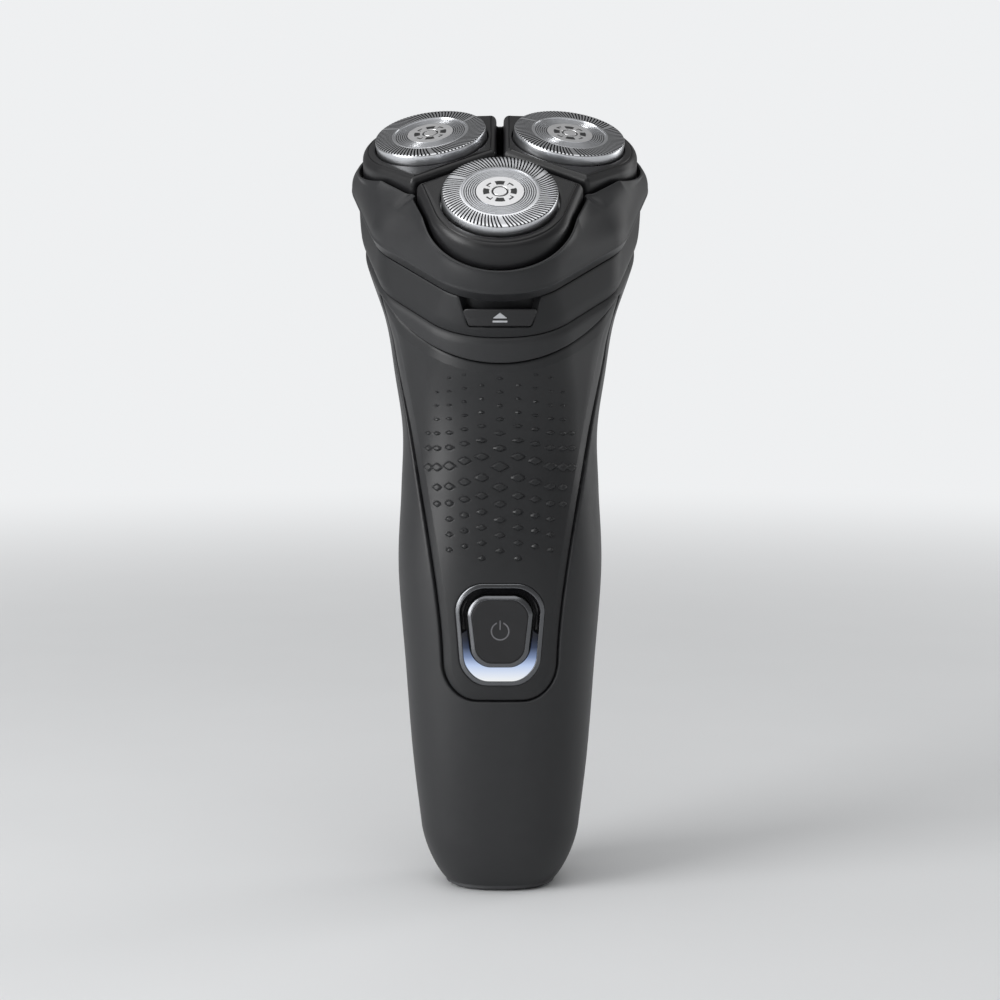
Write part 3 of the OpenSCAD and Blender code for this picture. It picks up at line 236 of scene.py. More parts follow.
def cut(points, faces, field, level=0.0, keep="both"):
    """Cuts the faces along field == level and keeps both sides, or only "above" or "below"."""
    v = field(points) - level
    v = np.where(np.abs(v) < 1e-6, 1e-6, v)
    up = v > 0
    pts = list(points)
    made, out = {}, []

    def between(a, b):
        key = (a, b) if a < b else (b, a)
        if key not in made:
            t = v[key[0]] / (v[key[0]] - v[key[1]])
            made[key] = len(pts)
            pts.append(points[key[0]] * (1 - t) + points[key[1]] * t)
        return made[key]

    for f in faces:
        state = [up[i] for i in f]
        if all(state) or not any(state):
            if keep != ("below" if state[0] else "above"):
                out.append(f)
            continue
        above, below = [], []
        for k, i in enumerate(f):
            j = f[(k + 1) % len(f)]
            (above if up[i] else below).append(i)
            if up[i] != up[j]:
                m = between(i, j)
                above.append(m)
                below.append(m)
        if keep != "below" and len(above) > 2:
            out.append(above)
        if keep != "above" and len(below) > 2:
            out.append(below)
    return compact(np.array(pts), out)


def cuts(points, faces, field, levels):
    """Cuts the faces along some levels of a field and keeps them all."""
    for level in levels:
        points, faces = cut(points, faces, field, level)
    return points, faces


def compact(points, faces):
    """The same faces without the points that none of them uses."""
    used = np.zeros(len(points), bool)
    for f in faces:
        used[f] = True
    index = np.cumsum(used) - 1
    return points[used], [[int(index[i]) for i in f] for f in faces]


def boundary(faces):
    """The edges that only one face has, in that face's order."""
    seen = {}
    for f in faces:
        for k, i in enumerate(f):
            j = f[(k + 1) % len(f)]
            if (j, i) in seen:
                del seen[(j, i)]
            else:
                seen[(i, j)] = True
    return list(seen)


def thicken(points, faces, normals, depth):
    """Closes a sheet into a shell: an inner copy, and walls along its open edges."""
    n = len(points)
    inner = points - normals * depth
    walls = [[j, i, i + n, j + n] for i, j in boundary(faces)]
    back = [[i + n for i in reversed(f)] for f in faces]
    return np.vstack([points, inner]), [*faces, *back, *walls]


def piece(name, points, faces, material, body, replaces=(), angle=35, materials=None, pick=None):
    """Makes a mesh object from points in millimetres and lets it ride on a CAD body."""
    mesh = bpy.data.meshes.new(name)
    mesh.from_pydata([tuple(p * MM) for p in np.asarray(points, float)], [], [tuple(f) for f in faces])
    mesh.validate()
    mesh.update()
    obj = add(name, mesh)
    for m in materials or [material]:
        mesh.materials.append(m)
    if pick is not None:
        mesh.polygons.foreach_set("material_index", pick[:len(mesh.polygons)])
    mesh.shade_smooth()
    mesh.set_sharp_from_angle(angle=math.radians(angle))
    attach(obj, body)
    if replaces:
        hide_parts(*replaces)
    return obj


def grid(surface, wrap):
    """Points and faces of a surface given by row and column."""
    rows, cols = surface.shape[:2]
    faces = []
    for k in range(rows - 1):
        for i in range(cols if wrap else cols - 1):
            j = (i + 1) % cols
            faces.append([k * cols + i, k * cols + j, (k + 1) * cols + j, (k + 1) * cols + i])
    return surface.reshape(-1, 3), faces


def loft(rings, close_ends=(False, False), wrap=True):
    """Faces between rings of equally many points; ends may be closed with one face."""
    points, faces = grid(np.array(rings), wrap)
    n = len(rings[0])
    if close_ends[0]:
        faces.append(list(range(n - 1, -1, -1)))
    if close_ends[1]:
        faces.append(list(range(len(points) - n, len(points))))
    return points, faces


def circle(r, angles, z):
    return np.column_stack([r * np.cos(angles), r * np.sin(angles), np.full(len(angles), z)])


def closed_loft(rings, wrap=True):
    """A loft whose last ring joins its first."""
    points, faces = loft(rings, wrap=wrap)
    n = len(rings[0])
    last = len(points) - n
    for k in range(n if wrap else n - 1):
        j = (k + 1) % n
        faces.append([last + k, last + j, j, k])
    return points, faces


def resample(loop, count):
    """A closed loop as count points evenly spaced along it."""
    loop = np.asarray(loop, float)
    closed = np.vstack([loop, loop[:1]])
    step = np.linalg.norm(np.diff(closed, axis=0), axis=1)
    at = np.concatenate([[0], np.cumsum(step)])
    want = np.arange(count) / count * at[-1]
    return np.column_stack([np.interp(want, at, closed[:, k]) for k in range(closed.shape[1])])


def smooth(t):
    """An even step from 0 to 1."""
    t = np.clip(t, 0, 1)
    return t * t * (3 - 2 * t)


# -------- the head's and the pods' frames
TILT = math.radians(31)
LEAN = math.radians(8.5)
HEAD_FORWARD, HEAD_Z, CAP_RING = 5.0, 149.3, 16.25
HEAD_ORIGIN = (0, -HEAD_FORWARD, HEAD_Z)


def tip(p, angle):
    """Points turned about the x axis."""
    x, y, z = np.moveaxis(np.asarray(p, float), -1, 0)
    c, s = math.cos(angle), math.sin(angle)
    return np.stack([x, y * c - z * s, y * s + z * c], -1)


def head(p):
    """Points of the head's frame in the shared frame, millimetres."""
    return tip(p, TILT) + HEAD_ORIGIN


def to_head(p):
    return tip(np.asarray(p, float) - HEAD_ORIGIN, -TILT)


def pod_to_head(i, p):
    """Points of the frame of cap i (0 front, 1 right, 2 left) in the head's frame."""
    x, y, z = np.moveaxis(tip(p, LEAN), -1, 0)
    y = y - CAP_RING
    c, s = math.cos(math.radians(120 * i)), math.sin(math.radians(120 * i))
    return np.stack([x * c - y * s, x * s + y * c, z], -1)


def pod(i, p):
    return head(pod_to_head(i, p))


# -------- the handle's form
TRIANGLE = np.array([[0, -0.5], [0.36, -0.06], [-0.36, -0.06], [0.5, 0.5], [-0.5, 0.5]])
# height, centre y, tilt in degrees, half width, half depth, and how far from oval (0) to triangle (1)
STAGES = np.array([
    [13, 0, 0, 16.3, 13.6, 0], [27.8, 0.2, 0, 18, 15.7, 0], [45.8, 0.5, 0, 19.35, 17.1, 0],
    [65.8, 0.9, 0, 20.75, 18, 0], [81.8, 1.9, 3, 20.15, 17.8, 0], [93.8, 3.1, 9, 19.9, 18.6, 0.05],
    [104.8, 3.6, 17, 21.5, 20.2, 0.2], [115.3, 3.3, 25, 23.6, 23.2, 0.45],
    [0, 0, 31, 28.2, 26, 0.75], [0, 0, 31, 29.2, 26.3, 1]])
for row, y, z in ((8, -5.7, -23.5), (9, -3.9, -15.6)):
    place = head([0, y, z])
    STAGES[row, 0], STAGES[row, 1] = place[2], place[1]


def directions():
    """Dense directions round a section, with the triangle's flats filled in: angle, centre x, centre y."""
    out = []
    last = None
    for t in np.arange(-90, 270.01, 0.1):
        a = math.radians(t)
        n = np.array([math.cos(a), math.sin(a)])
        best = TRIANGLE[int(np.argmax(TRIANGLE @ n))]
        if last is not None and np.linalg.norm(best - last) > 1e-9:
            for f in np.linspace(0, 1, 42)[1:-1]:
                c = last * (1 - f) + best * f
                out.append([t, c[0], c[1]])
        out.append([t, best[0], best[1]])
        last = best
    return np.array(out)


DENSE = directions()
POWER = 2.4


def unit_section(params, m):
    """A section of size 1 in the given directions, m of the way from an oval to a rounded triangle."""
    t = np.radians(params[:, 0])
    q = POWER / (POWER - 1)
    c, s = np.cos(t), np.sin(t)
    norm = (np.abs(c) ** q + np.abs(s) ** q) ** (1 / POWER)
    sup = np.stack([np.sign(c) * np.abs(c) ** (q - 1) / norm, np.sign(s) * np.abs(s) ** (q - 1) / norm], -1)
    tri = params[:, 1:] + 0.5 * np.stack([c, s], -1)
    return (1 - m) * sup + m * tri


def columns(count, first=0.0, last=1.0):
    """count directions, evenly spaced along a middling section, between two shares of its length."""
    mid = unit_section(DENSE, 0.3)
    at = np.concatenate([[0], np.cumsum(np.linalg.norm(np.diff(mid, axis=0), axis=1))])
    want = np.linspace(first, last, count, endpoint=last < 1.0 or first > 0.0) * at[-1]
    want = np.mod(want, at[-1])
    return np.column_stack([np.interp(want, at, DENSE[:, k]) for k in range(3)])


def stage_at(s):
    """The stages as a smooth curve through them, at whole and part numbers."""
    s = np.atleast_1d(np.asarray(s, float))
    out = []
    for v in s:
        k = int(min(max(math.floor(v), 0), len(STAGES) - 2))
        t = v - k
        a, b, c, d = (STAGES[min(max(j, 0), len(STAGES) - 1)] for j in (k - 1, k, k + 1, k + 2))
        bend, twist = 2 * a - 5 * b + 4 * c - d, 3 * b - a - 3 * c + d
        out.append(0.5 * (2 * b + (c - a) * t + bend * t * t + twist * t ** 3))
    out = np.array(out)
    out[:, 5] = np.clip(out[:, 5], 0.001, 1)
    return out


FOOT_ROUND, FOOT_POWER, FOOT_SLOPE = 13.0, 1.6, 0.05
FOOT_LOW = 1.4
FOOT_X, FOOT_Y, FOOT_FLARE_X, FOOT_FLARE_Y = 9.5, 7.8, 6.8, 5.8


def foot_row(z):
    """The stage of the rounded foot at height z."""
    share = (1 - ((FOOT_ROUND - z) / FOOT_ROUND) ** FOOT_POWER) ** (1 / FOOT_POWER)
    lean = FOOT_SLOPE * (z - FOOT_ROUND) * share
    return [z, 0, 0, FOOT_X + FOOT_FLARE_X * share + lean, FOOT_Y + FOOT_FLARE_Y * share + lean, 0.001]


def stage_rows(step):
    """Stages from the foot to the head, about step apart along the surface."""
    zs = [FOOT_LOW, FOOT_LOW + 0.25, FOOT_LOW + 0.55, FOOT_LOW + 1]
    while zs[-1] + step < FOOT_ROUND:
        zs.append(zs[-1] + step)
    if FOOT_ROUND - zs[-1] < step / 2:
        zs.pop()
    rows = [foot_row(z) for z in zs]
    dense = stage_at(np.linspace(0, len(STAGES) - 1, 1200))
    at = np.concatenate([[0], np.cumsum(np.hypot(np.diff(dense[:, 0]), np.diff(dense[:, 1])))])
    want = np.linspace(0, at[-1], int(at[-1] / step) + 1)
    upper = np.column_stack([np.interp(want, at, dense[:, k]) for k in range(6)])
    return np.vstack([np.array(rows), upper])


def form(params, rows):
    """The handle's surface for some directions and stages: [row, column, xyz]."""
    out = np.zeros((len(rows), len(params), 3))
    for k, r in enumerate(rows):
        u = unit_section(params, r[5])
        a = math.radians(r[2])
        x, y = u[:, 0] * r[3], u[:, 1] * r[4]
        out[k] = np.stack([x, r[1] + y * math.cos(a), r[0] + y * math.sin(a)], -1)
    return out


CREASE_Y, CREASE_Z, SPLIT_Y = -20.5, 112.3, 4.0


def above_crease(p):
    """Height over the tilted plane between the handle's shells and its neck."""
    return -(p[:, 1] - CREASE_Y) * math.sin(TILT) + (p[:, 2] - CREASE_Z) * math.cos(TILT)


def behind_split(p):
    """Distance behind the plane between the front and the rear shell."""
    return p[:, 1] - SPLIT_Y


# the panel's right side, from its lower corner up: [x, z]
PANEL_SIDE = np.array([(11.6, 48.6), (12.4, 56.8), (13.6, 68.8), (16.7, 84.4), (21.2, 108), (24.4, 121.3)])
PANEL_BACK = -0.5
PANEL_LOW, PANEL_CORNER, PANEL_TOP, PANEL_ARCH = 40.8, 7, 107.7, 28.5


def panel_outline():
    """The panel as seen from the front: a loop of [x, z]."""
    coeff = np.polyfit(PANEL_SIDE[:, 1], PANEL_SIDE[:, 0], 4)
    fine = np.linspace(PANEL_SIDE[0, 1], PANEL_SIDE[-1, 1], 50)
    side = list(zip(np.polyval(coeff, fine), fine))
    x, z = side[0]
    low = [(x - PANEL_CORNER * (1 - math.cos(t)), z + (PANEL_LOW - z) * math.sin(t))
           for t in np.radians(np.linspace(90, 3, 26))]
    end = math.asin(side[-1][0] / PANEL_ARCH)
    top = [(PANEL_ARCH * math.sin(t), PANEL_TOP + PANEL_ARCH * (1 - math.cos(t)))
           for t in np.linspace(end, 0, 34)][1:]
    right = low + side + top
    left = [(-x, z) for x, z in reversed(right[:-1])]
    return np.array(right + left)


def signed_distance(xz, loop):
    """Distance to a closed loop, negative inside."""
    a, b = loop, np.roll(loop, -1, axis=0)
    best = np.full(len(xz), 1e9)
    inside = np.zeros(len(xz), bool)
    for p, q in zip(a, b):
        d = q - p
        t = np.clip(((xz - p) @ d) / max(d @ d, 1e-12), 0, 1)
        best = np.minimum(best, np.linalg.norm(xz - (p + t[:, None] * d), axis=1))
        crosses = (p[1] > xz[:, 1]) != (q[1] > xz[:, 1])
        if abs(d[1]) > 1e-12:
            inside ^= crosses & (xz[:, 0] < d[0] * (xz[:, 1] - p[1]) / d[1] + p[0])
    return np.where(inside, -best, best)


def off_loop(p, loop):
    """Distance to a loop as seen from the front, negative inside."""
    return signed_distance(p[:, [0, 2]], loop)


PANEL_LOOP = panel_outline()


def off_panel(p):
    """Distance to the panel's outline, negative inside; the panel ends where the sides turn to the back."""
    d = off_loop(p, PANEL_LOOP)
    # the sides turn away from the front, so the distance counts for more there
    d = d * (1 + 2.5 * smooth((p[:, 1] + 6) / 5))
    return np.maximum(d, p[:, 1] - PANEL_BACK)


# half the gap round the panel, and how thick the skins are
SEAM = 0.15
WALL, PANEL_WALL, NECK_WALL, KEY_WALL = 2.0, 1.9, 1.5, 2.4


def rounded(d, radius, drop):
    """How far an edge sinks at distance d from it: a quarter round of that radius, drop deep."""
    t = np.clip(1 - d / radius, 0, 1)
    return drop * (1 - np.sqrt(np.maximum(1 - t * t, 0)))


SCREW_X, SCREW_Z, SCREW_HOLE = 10.0, 85.8, 2.15


def off_screws(p):
    """Distance to the edge of the nearest screw hole in the back."""
    d = np.hypot(np.abs(p[:, 0]) - SCREW_X, p[:, 2] - SCREW_Z) - SCREW_HOLE
    return np.where(p[:, 1] > 8, d, 9.0)


CREASE_GAP = 0.12


def build_shells():
    base, faces = grid(form(columns(230), stage_rows(0.8)), True)
    p, f = cut(base, faces, above_crease, -CREASE_GAP, "below")
    p, f = cuts(p, f, above_crease, (-0.3, -0.6, -1.0, -1.5, -2.2))
    for side, keep, sign in (("front", "below", -1), ("rear", "above", 1)):
        q, g = cut(p, f, behind_split, 0.03 * sign, keep)
        q, g = cuts(q, g, behind_split, [level * sign for level in (0.12, 0.25)])
        if side == "front":
            q, g = cut(q, g, off_panel, SEAM, "above")
            q, g = cuts(q, g, off_panel, (0.22, 0.35, 0.6))
        else:
            q, g = cut(q, g, off_screws, 0.0, "above")
            q, g = cuts(q, g, off_screws, (0.12, 0.3))
        n = vertex_normals(q, g)
        sink = rounded(-above_crease(q), 1.8, 1.15)
        sink += rounded(np.abs(behind_split(q)), 0.25, 0.16)
        if side == "front":
            sink += rounded(off_panel(q) - SEAM, 0.4, 0.22)
        else:
            sink += rounded(off_screws(q), 0.3, 0.2)
        q = q - n * sink[:, None]
        q, g = thicken(q, g, n, WALL)
        piece(f"{side}_shell", q, g, M_body, "handle", (f"{side}_housing",))


# -------- the panel with its diamond relief
PANEL_ROUND, COLUMN_STEP, DIAMOND_Z, BEVEL = 15.5, 3.6, 87.5, 0.26


def diamonds():
    """[x, z, half width, half height, rise] of each raised diamond, in eleven staggered columns."""
    out = []
    for c in range(-5, 6):
        a = abs(c)
        # how far the column is shifted up, in rows, and how many rows it has below and above the middle
        start = (0, 0.5, 0.27, 0, -0.08, -0.1)[a]
        below, above = ((5, 6), (6, 5), (5, 6), (5, 6), (2, 5), (0, 2))[a]
        x = PANEL_ROUND * math.sin(c * COLUMN_STEP / PANEL_ROUND)
        for k in range(-below, above + 1):
            u = k + start
            if u >= 0:
                z = DIAMOND_Z + 2.68 * u + 1.3 * (1 - math.exp(-u / 0.8))
                w, h = 0.45 + 1.52 * math.exp(-u / 3.2), 0.24 + 0.82 * math.exp(-u / 1.7)
            else:
                z = DIAMOND_Z + 3.0 * u - 1.45 * (1 - math.exp(u / 0.8))
                w, h = 0.8 + 1.12 * math.exp(u / 4.0), 0.48 + 0.56 * math.exp(u / 3.4)
            narrow = 1 - 0.085 * a
            out.append([x, z, w * narrow, h * (1 - 0.03 * a), 0.34 if u < 1.6 else 0.26])
    return np.array(out)


DIAMONDS = diamonds()


def diamond_level(p, keep=False):
    """0 on a diamond's outline, -1 where its sloping edge reaches the top; and the height there."""
    best = np.full(len(p), 9.0)
    rise = np.zeros(len(p))
    power = 1.12
    for x, z, w, h, up in DIAMONDS:
        near = (np.abs(p[:, 0] - x) < 1.6 * w + 0.3) & (np.abs(p[:, 2] - z) < 1.6 * h + 0.3) & (p[:, 1] < 0)
        u = np.abs(p[near, 0] - x) / w
        v = np.abs(p[near, 2] - z) / h
        reach = w * h / math.hypot(w, h)
        d = ((u ** power + v ** power) ** (1 / power) - 1) * reach / min(BEVEL, 0.5 * reach)
        better = d < best[near]
        at = np.flatnonzero(near)[better]
        best[at] = d[better]
        rise[at] = up
    return (best, rise) if keep else best


PANEL_SHARE = 0.245      # how far round the handle the panel's grid reaches, each way


def build_panel():
    cols = np.vstack([columns(84, 1 - PANEL_SHARE, 0.9999), columns(84, 0.0001, PANEL_SHARE)])
    rows = stage_rows(0.4)
    rows = rows[rows[:, 0] > PANEL_LOW - 2]
    p, f = grid(form(cols, rows), False)
    p, f = cut(p, f, off_panel, -SEAM, "below")
    p, f = cuts(p, f, off_panel, (-0.25, -0.45, -0.7, -1.2, -1.9))
    hole = lambda q: bezel_distance(q, 2.4)
    p, f = cut(p, f, hole, 0.06, "above")
    p, f = cuts(p, f, hole, (0.14, 0.3))
    p, f = cuts(p, f, diamond_level, (0.2, 0.0, -0.85, -1.15))
    n = vertex_normals(p, f)
    d = -off_panel(p) - SEAM
    sink = rounded(d, 0.45, 0.2) + 0.4 * np.clip(1 - d / 1.75, 0, 1)
    sink += rounded(hole(p) - 0.06, 0.3, 0.12)
    level, rise = diamond_level(p, True)
    # each diamond stands in a faint groove
    lift = rise * np.clip(-level, 0, 1) - 0.03 * ((level > -0.05) & (level < 0.1))
    p = p + n * (lift - sink)[:, None]
    p, f = thicken(p, f, n, PANEL_WALL)
    piece("panel", p, f, M_panel, "handle", ("front_panel",), angle=28)


# -------- outlines of the power button and its ring
BUTTON_Z, BUTTON_W, BUTTON_H = 55.0, 12.4, 13.7
LOOP_POINTS = 144


def button_loop(grow, drop=0.0):
    """Rounded square, narrower at the bottom, from the bottom's middle round: [x, z]."""
    top, low, corner = BUTTON_W / 2 + grow, BUTTON_W / 2 - 0.7 + grow, 3.6 + grow * 0.7
    zt = BUTTON_Z + BUTTON_H / 2 + grow - corner
    zb = BUTTON_Z - BUTTON_H / 2 - grow + corner - drop
    corners = [(low - corner, zb, -90, 0), (top - corner, zt, 0, 90),
               (-(top - corner), zt, 90, 180), (-(low - corner), zb, 180, 270)]
    loop = []
    bow = 0.35
    for x, z, a0, a1 in corners:
        for t in np.radians(np.linspace(a0, a1, 40)):
            loop.append([x + corner * math.cos(t), z + corner * math.sin(t)])
    loop = np.array(loop)
    # the sides bow out a little
    cx = loop[:, 0] / (BUTTON_W / 2 + grow)
    cz = (loop[:, 1] - BUTTON_Z) / (BUTTON_H / 2 + grow)
    loop[:, 1] += np.sign(cz) * bow * np.clip(1 - cx ** 2, 0, 1) * (np.abs(cz) > 0.6)
    loop[:, 0] += np.sign(cx) * bow * np.clip(1 - cz ** 2, 0, 1) * (np.abs(cx) > 0.6)
    start = int(np.argmin(np.hypot(loop[:, 0], loop[:, 1] - zb + corner)))
    loop = np.roll(loop, -start, axis=0)
    return resample(loop, LOOP_POINTS)


GLOW_DROP = 1.4


def bezel_loop(grow):
    """The ring's outline: the button's, grown, and longer at the bottom."""
    return button_loop(grow, GLOW_DROP)


def bezel_distance(p, grow):
    """Distance to the ring's outline on the front side, negative inside."""
    return np.where(p[:, 1] > -5, 9.0, off_loop(p, bezel_loop(grow)))


GRIP_ROWS = stage_rows(0.5)
GRIP_COLS = np.vstack([columns(60, 0.8, 0.9999), columns(60, 0.0001, 0.2)])
GRIP = form(GRIP_COLS, GRIP_ROWS)


def front_y(x, z):
    """The handle's front surface, as y for points [x, z]."""
    x, z = np.atleast_1d(x).astype(float), np.atleast_1d(z).astype(float)
    ys = np.array([np.interp(x, r[:, 0], r[:, 1]) for r in GRIP])
    zs = np.array([np.interp(x, r[:, 0], r[:, 2]) for r in GRIP])
    return np.array([np.interp(z[k], zs[:, k], ys[:, k]) for k in range(len(x))])


def on_front(loop, depth=0.0):
    """Loop points [x, z] laid on the front surface, depth behind it."""
    return np.column_stack([loop[:, 0], front_y(loop[:, 0], loop[:, 1]) + depth, loop[:, 1]])


# -------- neck and release button
RELEASE_Z, RELEASE_W, RELEASE_H = 116.7, 13.6, 3.4


def rounded_polygon(corners, radius, steps=8):
    """A closed polygon with rounded corners: [x, z]."""
    out = []
    n = len(corners)
    for k in range(n):
        p, a, b = (np.array(corners[j % n], float) for j in (k, k - 1, k + 1))
        u, v = (a - p) / np.linalg.norm(a - p), (b - p) / np.linalg.norm(b - p)
        half = math.acos(np.clip(u @ v, -1, 1)) / 2
        reach = min(radius / math.tan(half), 0.45 * min(np.linalg.norm(a - p), np.linalg.norm(b - p)))
        p0, p1 = p + u * reach, p + v * reach
        for t in np.linspace(0, 1, steps):
            out.append((1 - t) ** 2 * p0 + 2 * t * (1 - t) * p + t * t * p1)
    return np.array(out)


def release_loop(grow=0.0, up=0.0, radius=0.8):
    """The release button's outline, wider at the top; up makes it taller."""
    top, low = RELEASE_W / 2 + 0.6 + grow, RELEASE_W / 2 - 0.8 + grow
    z1, z0 = RELEASE_Z + RELEASE_H / 2 + grow + up, RELEASE_Z - RELEASE_H / 2 - grow
    top += up * 0.25
    return rounded_polygon([(low, z0), (top, z1), (-top, z1), (-low, z0)], radius)


POCKET = release_loop(0.3, 4.0)


def off_pocket(p):
    """Distance to the outline of the pocket that the release button sits in, negative inside."""
    return np.where(p[:, 1] > -10, 9.0, off_loop(p, POCKET))


LIP_H, SKIRT_H, SKIRT_DROP = -13.7, -15.3, 0.8


def skirt_at(y):
    """Height of the collar's lower edge, which is a little lower away from the hinge."""
    return SKIRT_H - SKIRT_DROP * smooth((18 - y) / 8.0)


def over_skirt(p):
    """Height over the collar's lower edge."""
    q = to_head(p)
    return q[:, 2] - skirt_at(q[:, 1])


def build_neck():
    rows = stage_rows(0.6)
    rows = rows[rows[:, 2] > 15]
    p, f = grid(form(columns(260), rows), True)
    p, f = cut(p, f, above_crease, CREASE_GAP, "above")
    p, f = cut(p, f, over_skirt, -0.22, "below")
    p, f = cuts(p, f, over_skirt, (-0.32, -0.5))
    p, f = cuts(p, f, above_crease, (0.4, 0.9, 1.6, 2.4))
    p, f = cuts(p, f, off_pocket, (0.0, -0.12, 0.3))
    n = vertex_normals(p, f)
    up = above_crease(p)
    sink = 0.16 + 0.5 * np.clip(1 - up / 2.6, 0, 1) ** 2
    sink = sink + rounded(-over_skirt(p) - 0.22, 0.35, 0.22)
    d = off_pocket(p)
    sink = np.where(d < -0.06, 2.6, sink + rounded(np.maximum(d, 0), 0.3, 0.15))
    p = p - n * sink[:, None]
    p, f = thicken(p, f, n, NECK_WALL)
    piece("neck", p, f, M_neck, "handle", ("neck_shell",))


def icon_eject(xz):
    """0 on the outline of the eject sign, negative inside."""
    q = xz - [0, RELEASE_Z] - [0, 0.15]
    triangle = rounded_polygon([(-1.42, -0.28), (1.42, -0.28), (0, 0.82)], 0.1)
    bar = rounded_polygon([(-1.42, -1.06), (1.42, -1.06), (1.42, -0.7), (-1.42, -0.7)], 0.08)
    return np.minimum(signed_distance(q, triangle), signed_distance(q, bar))


def build_release():
    xs = np.linspace(-7.8, 7.8, 157)
    zs = np.linspace(RELEASE_Z - 2.2, RELEASE_Z + 2.2, 45)
    gx, gz = (g.ravel() for g in np.meshgrid(xs, zs))
    p, f = grid(np.stack([gx, front_y(gx, gz), gz], -1).reshape(len(zs), len(xs), 3), False)
    loop = release_loop()
    off = lambda q: off_loop(q, loop)
    p, f = cut(p, f, off, 0.0, "below")
    p, f = cuts(p, f, off, (-0.12, -0.28, -0.5))
    sign = lambda q: icon_eject(q[:, [0, 2]])
    p, f = cut(p, f, sign, 0.0)
    n = np.tile([0.0, -1.0, 0.0], (len(p), 1))
    d = -off(p)
    up = (p[:, 2] - RELEASE_Z) / (RELEASE_H / 2)
    lift = 0.1 + 0.42 * np.clip(up, 0, 1) + 0.1 * np.clip(up, -1, 0)
    p = p + n * (lift - rounded(d, 0.42, 0.34))[:, None]
    centres = np.array([p[g].mean(axis=0) for g in f])
    inside = sign(centres) < 0
    count = len(f)
    p, f = thicken(p, f, n, KEY_WALL)
    pick = np.zeros(len(f), np.int32)
    pick[:count] = inside
    piece("release_key", p, f, None, "release_button", ("release_button",),
          materials=[M_button, M_icon], pick=pick)


# -------- cap holders, collar and caps
POD_R, POD_GAP, POD_SPLIT, CAP_RISE, POD_H = 14.1, 0.6, 1.4, 2.1, 5.3
POD_BOTTOM = -CAP_RISE - POD_H


def pod_drift(d):
    """How far the holder's round front has moved along y at depth d."""
    return (d + CAP_RISE) * math.tan(LEAN)


def pod_edge_y(x, r, d):
    """Where a corner of radius r at x lies so that it keeps half the split from its neighbour."""
    back = (POD_SPLIT / 2 + r + x / 2) / math.cos(math.pi / 6)
    return (CAP_RING + d * math.sin(LEAN) - back) / math.cos(LEAN)


def pod_outline(d, grow=0.0, count=432):
    """Outline of a cap holder at depth d, one point for each direction: [x, y]."""
    t = np.arange(count) / count * 2 * math.pi - math.pi / 2
    n = np.stack([np.cos(t), np.sin(t)], -1)
    circles = [(15.0, pod_edge_y(15.0, 1.2, d), 1.2), (-15.0, pod_edge_y(15.0, 1.2, d), 1.2),
               (0.0, pod_edge_y(0.0, 0.8, d), 0.8)]
    drift = pod_drift(d)
    points = [np.where(n[:, 1:] <= 0, n * (POD_R + grow), 0) + [0, drift]]
    reach = [np.where(n[:, 1] <= 0, POD_R + grow + n[:, 1] * drift, -99)]
    for x, y, r in circles:
        points.append(n * (r + grow) + [x, y])
        reach.append(x * n[:, 0] + y * n[:, 1] + r + grow)
    best = np.argmax(np.array(reach), axis=0)
    return np.array(points)[best, np.arange(count)], t


def build_holder(i, side):
    # depth under the holder's top and inset of each ring, from the bottom up
    steps = [(5.28, 0.2), (5.15, 0.02), (4.6, 0.0), (1.9, 0.0), (1.45, 0.04), (1.05, 0.15), (0.72, 0.34),
             (0.45, 0.58), (0.26, 0.86), (0.2, 1.02), (0.32, 1.1), (0.32, 1.16), (0.1, 1.28), (0.03, 1.45)]
    rings = []
    for depth, inset in steps:
        outline, t = pod_outline(-CAP_RISE - depth, -inset)
        rings.append(np.column_stack([outline, np.full(len(outline), -CAP_RISE - depth)]))
    for r, d in ((12.05, -CAP_RISE), (11.75, -CAP_RISE - 0.02), (11.6, -CAP_RISE - 0.14),
                 (11.55, -CAP_RISE - 0.4), (11.55, -3.5), (12.3, -3.6), (12.3, -7.3), (12.45, -7.38)):
        rings.append(circle(r, t, d))
    p, f = closed_loft(rings)
    for s in (-1, 1):
        q, g = bevel_box((s * 12.2, -1.5, -10.6), (s * 13.6, 1.5, -7.3), 0.25)
        f += [[v + len(p) for v in face] for face in g]
        p = np.vstack([p, q])
    piece("holder_" + side, pod(i, p), f, M_pod, "holder_" + side,
          ("cap_holder_" + side,))


def bevel_box(a, b, r):
    """A box with cut edges."""
    lo, hi = np.minimum(a, b), np.maximum(a, b)
    c, h = (lo + hi) / 2, (hi - lo) / 2
    rings = []
    for z, inset in ((-h[2], r), (-h[2] + r, 0), (h[2] - r, 0), (h[2], r)):
        x, y = h[0] - inset, h[1] - inset
        e = r * 0.7
        ring = [(x, -y + e), (x, y - e), (x - e, y), (-x + e, y),
                (-x, y - e), (-x, -y + e), (-x + e, -y), (x - e, -y)]
        rings.append(np.array([(u + c[0], v + c[1], z + c[2]) for u, v in ring]))
    return loft(rings, (True, True))


def polar_radius(loop, angle):
    """How far a closed loop [x, y] reaches from the origin in one direction."""
    d = np.array([math.sin(angle), -math.cos(angle)])
    a, b = loop, np.roll(loop, -1, axis=0)
    ca = a[:, 0] * d[1] - a[:, 1] * d[0]
    cb = b[:, 0] * d[1] - b[:, 1] * d[0]
    hit = (ca > 0) != (cb > 0)
    if not hit.any():
        return 0.0
    t = (ca / (ca - cb + 1e-15))[hit]
    q = a[hit] * (1 - t[:, None]) + b[hit] * t[:, None]
    return max(0.0, float((q @ d).max()))


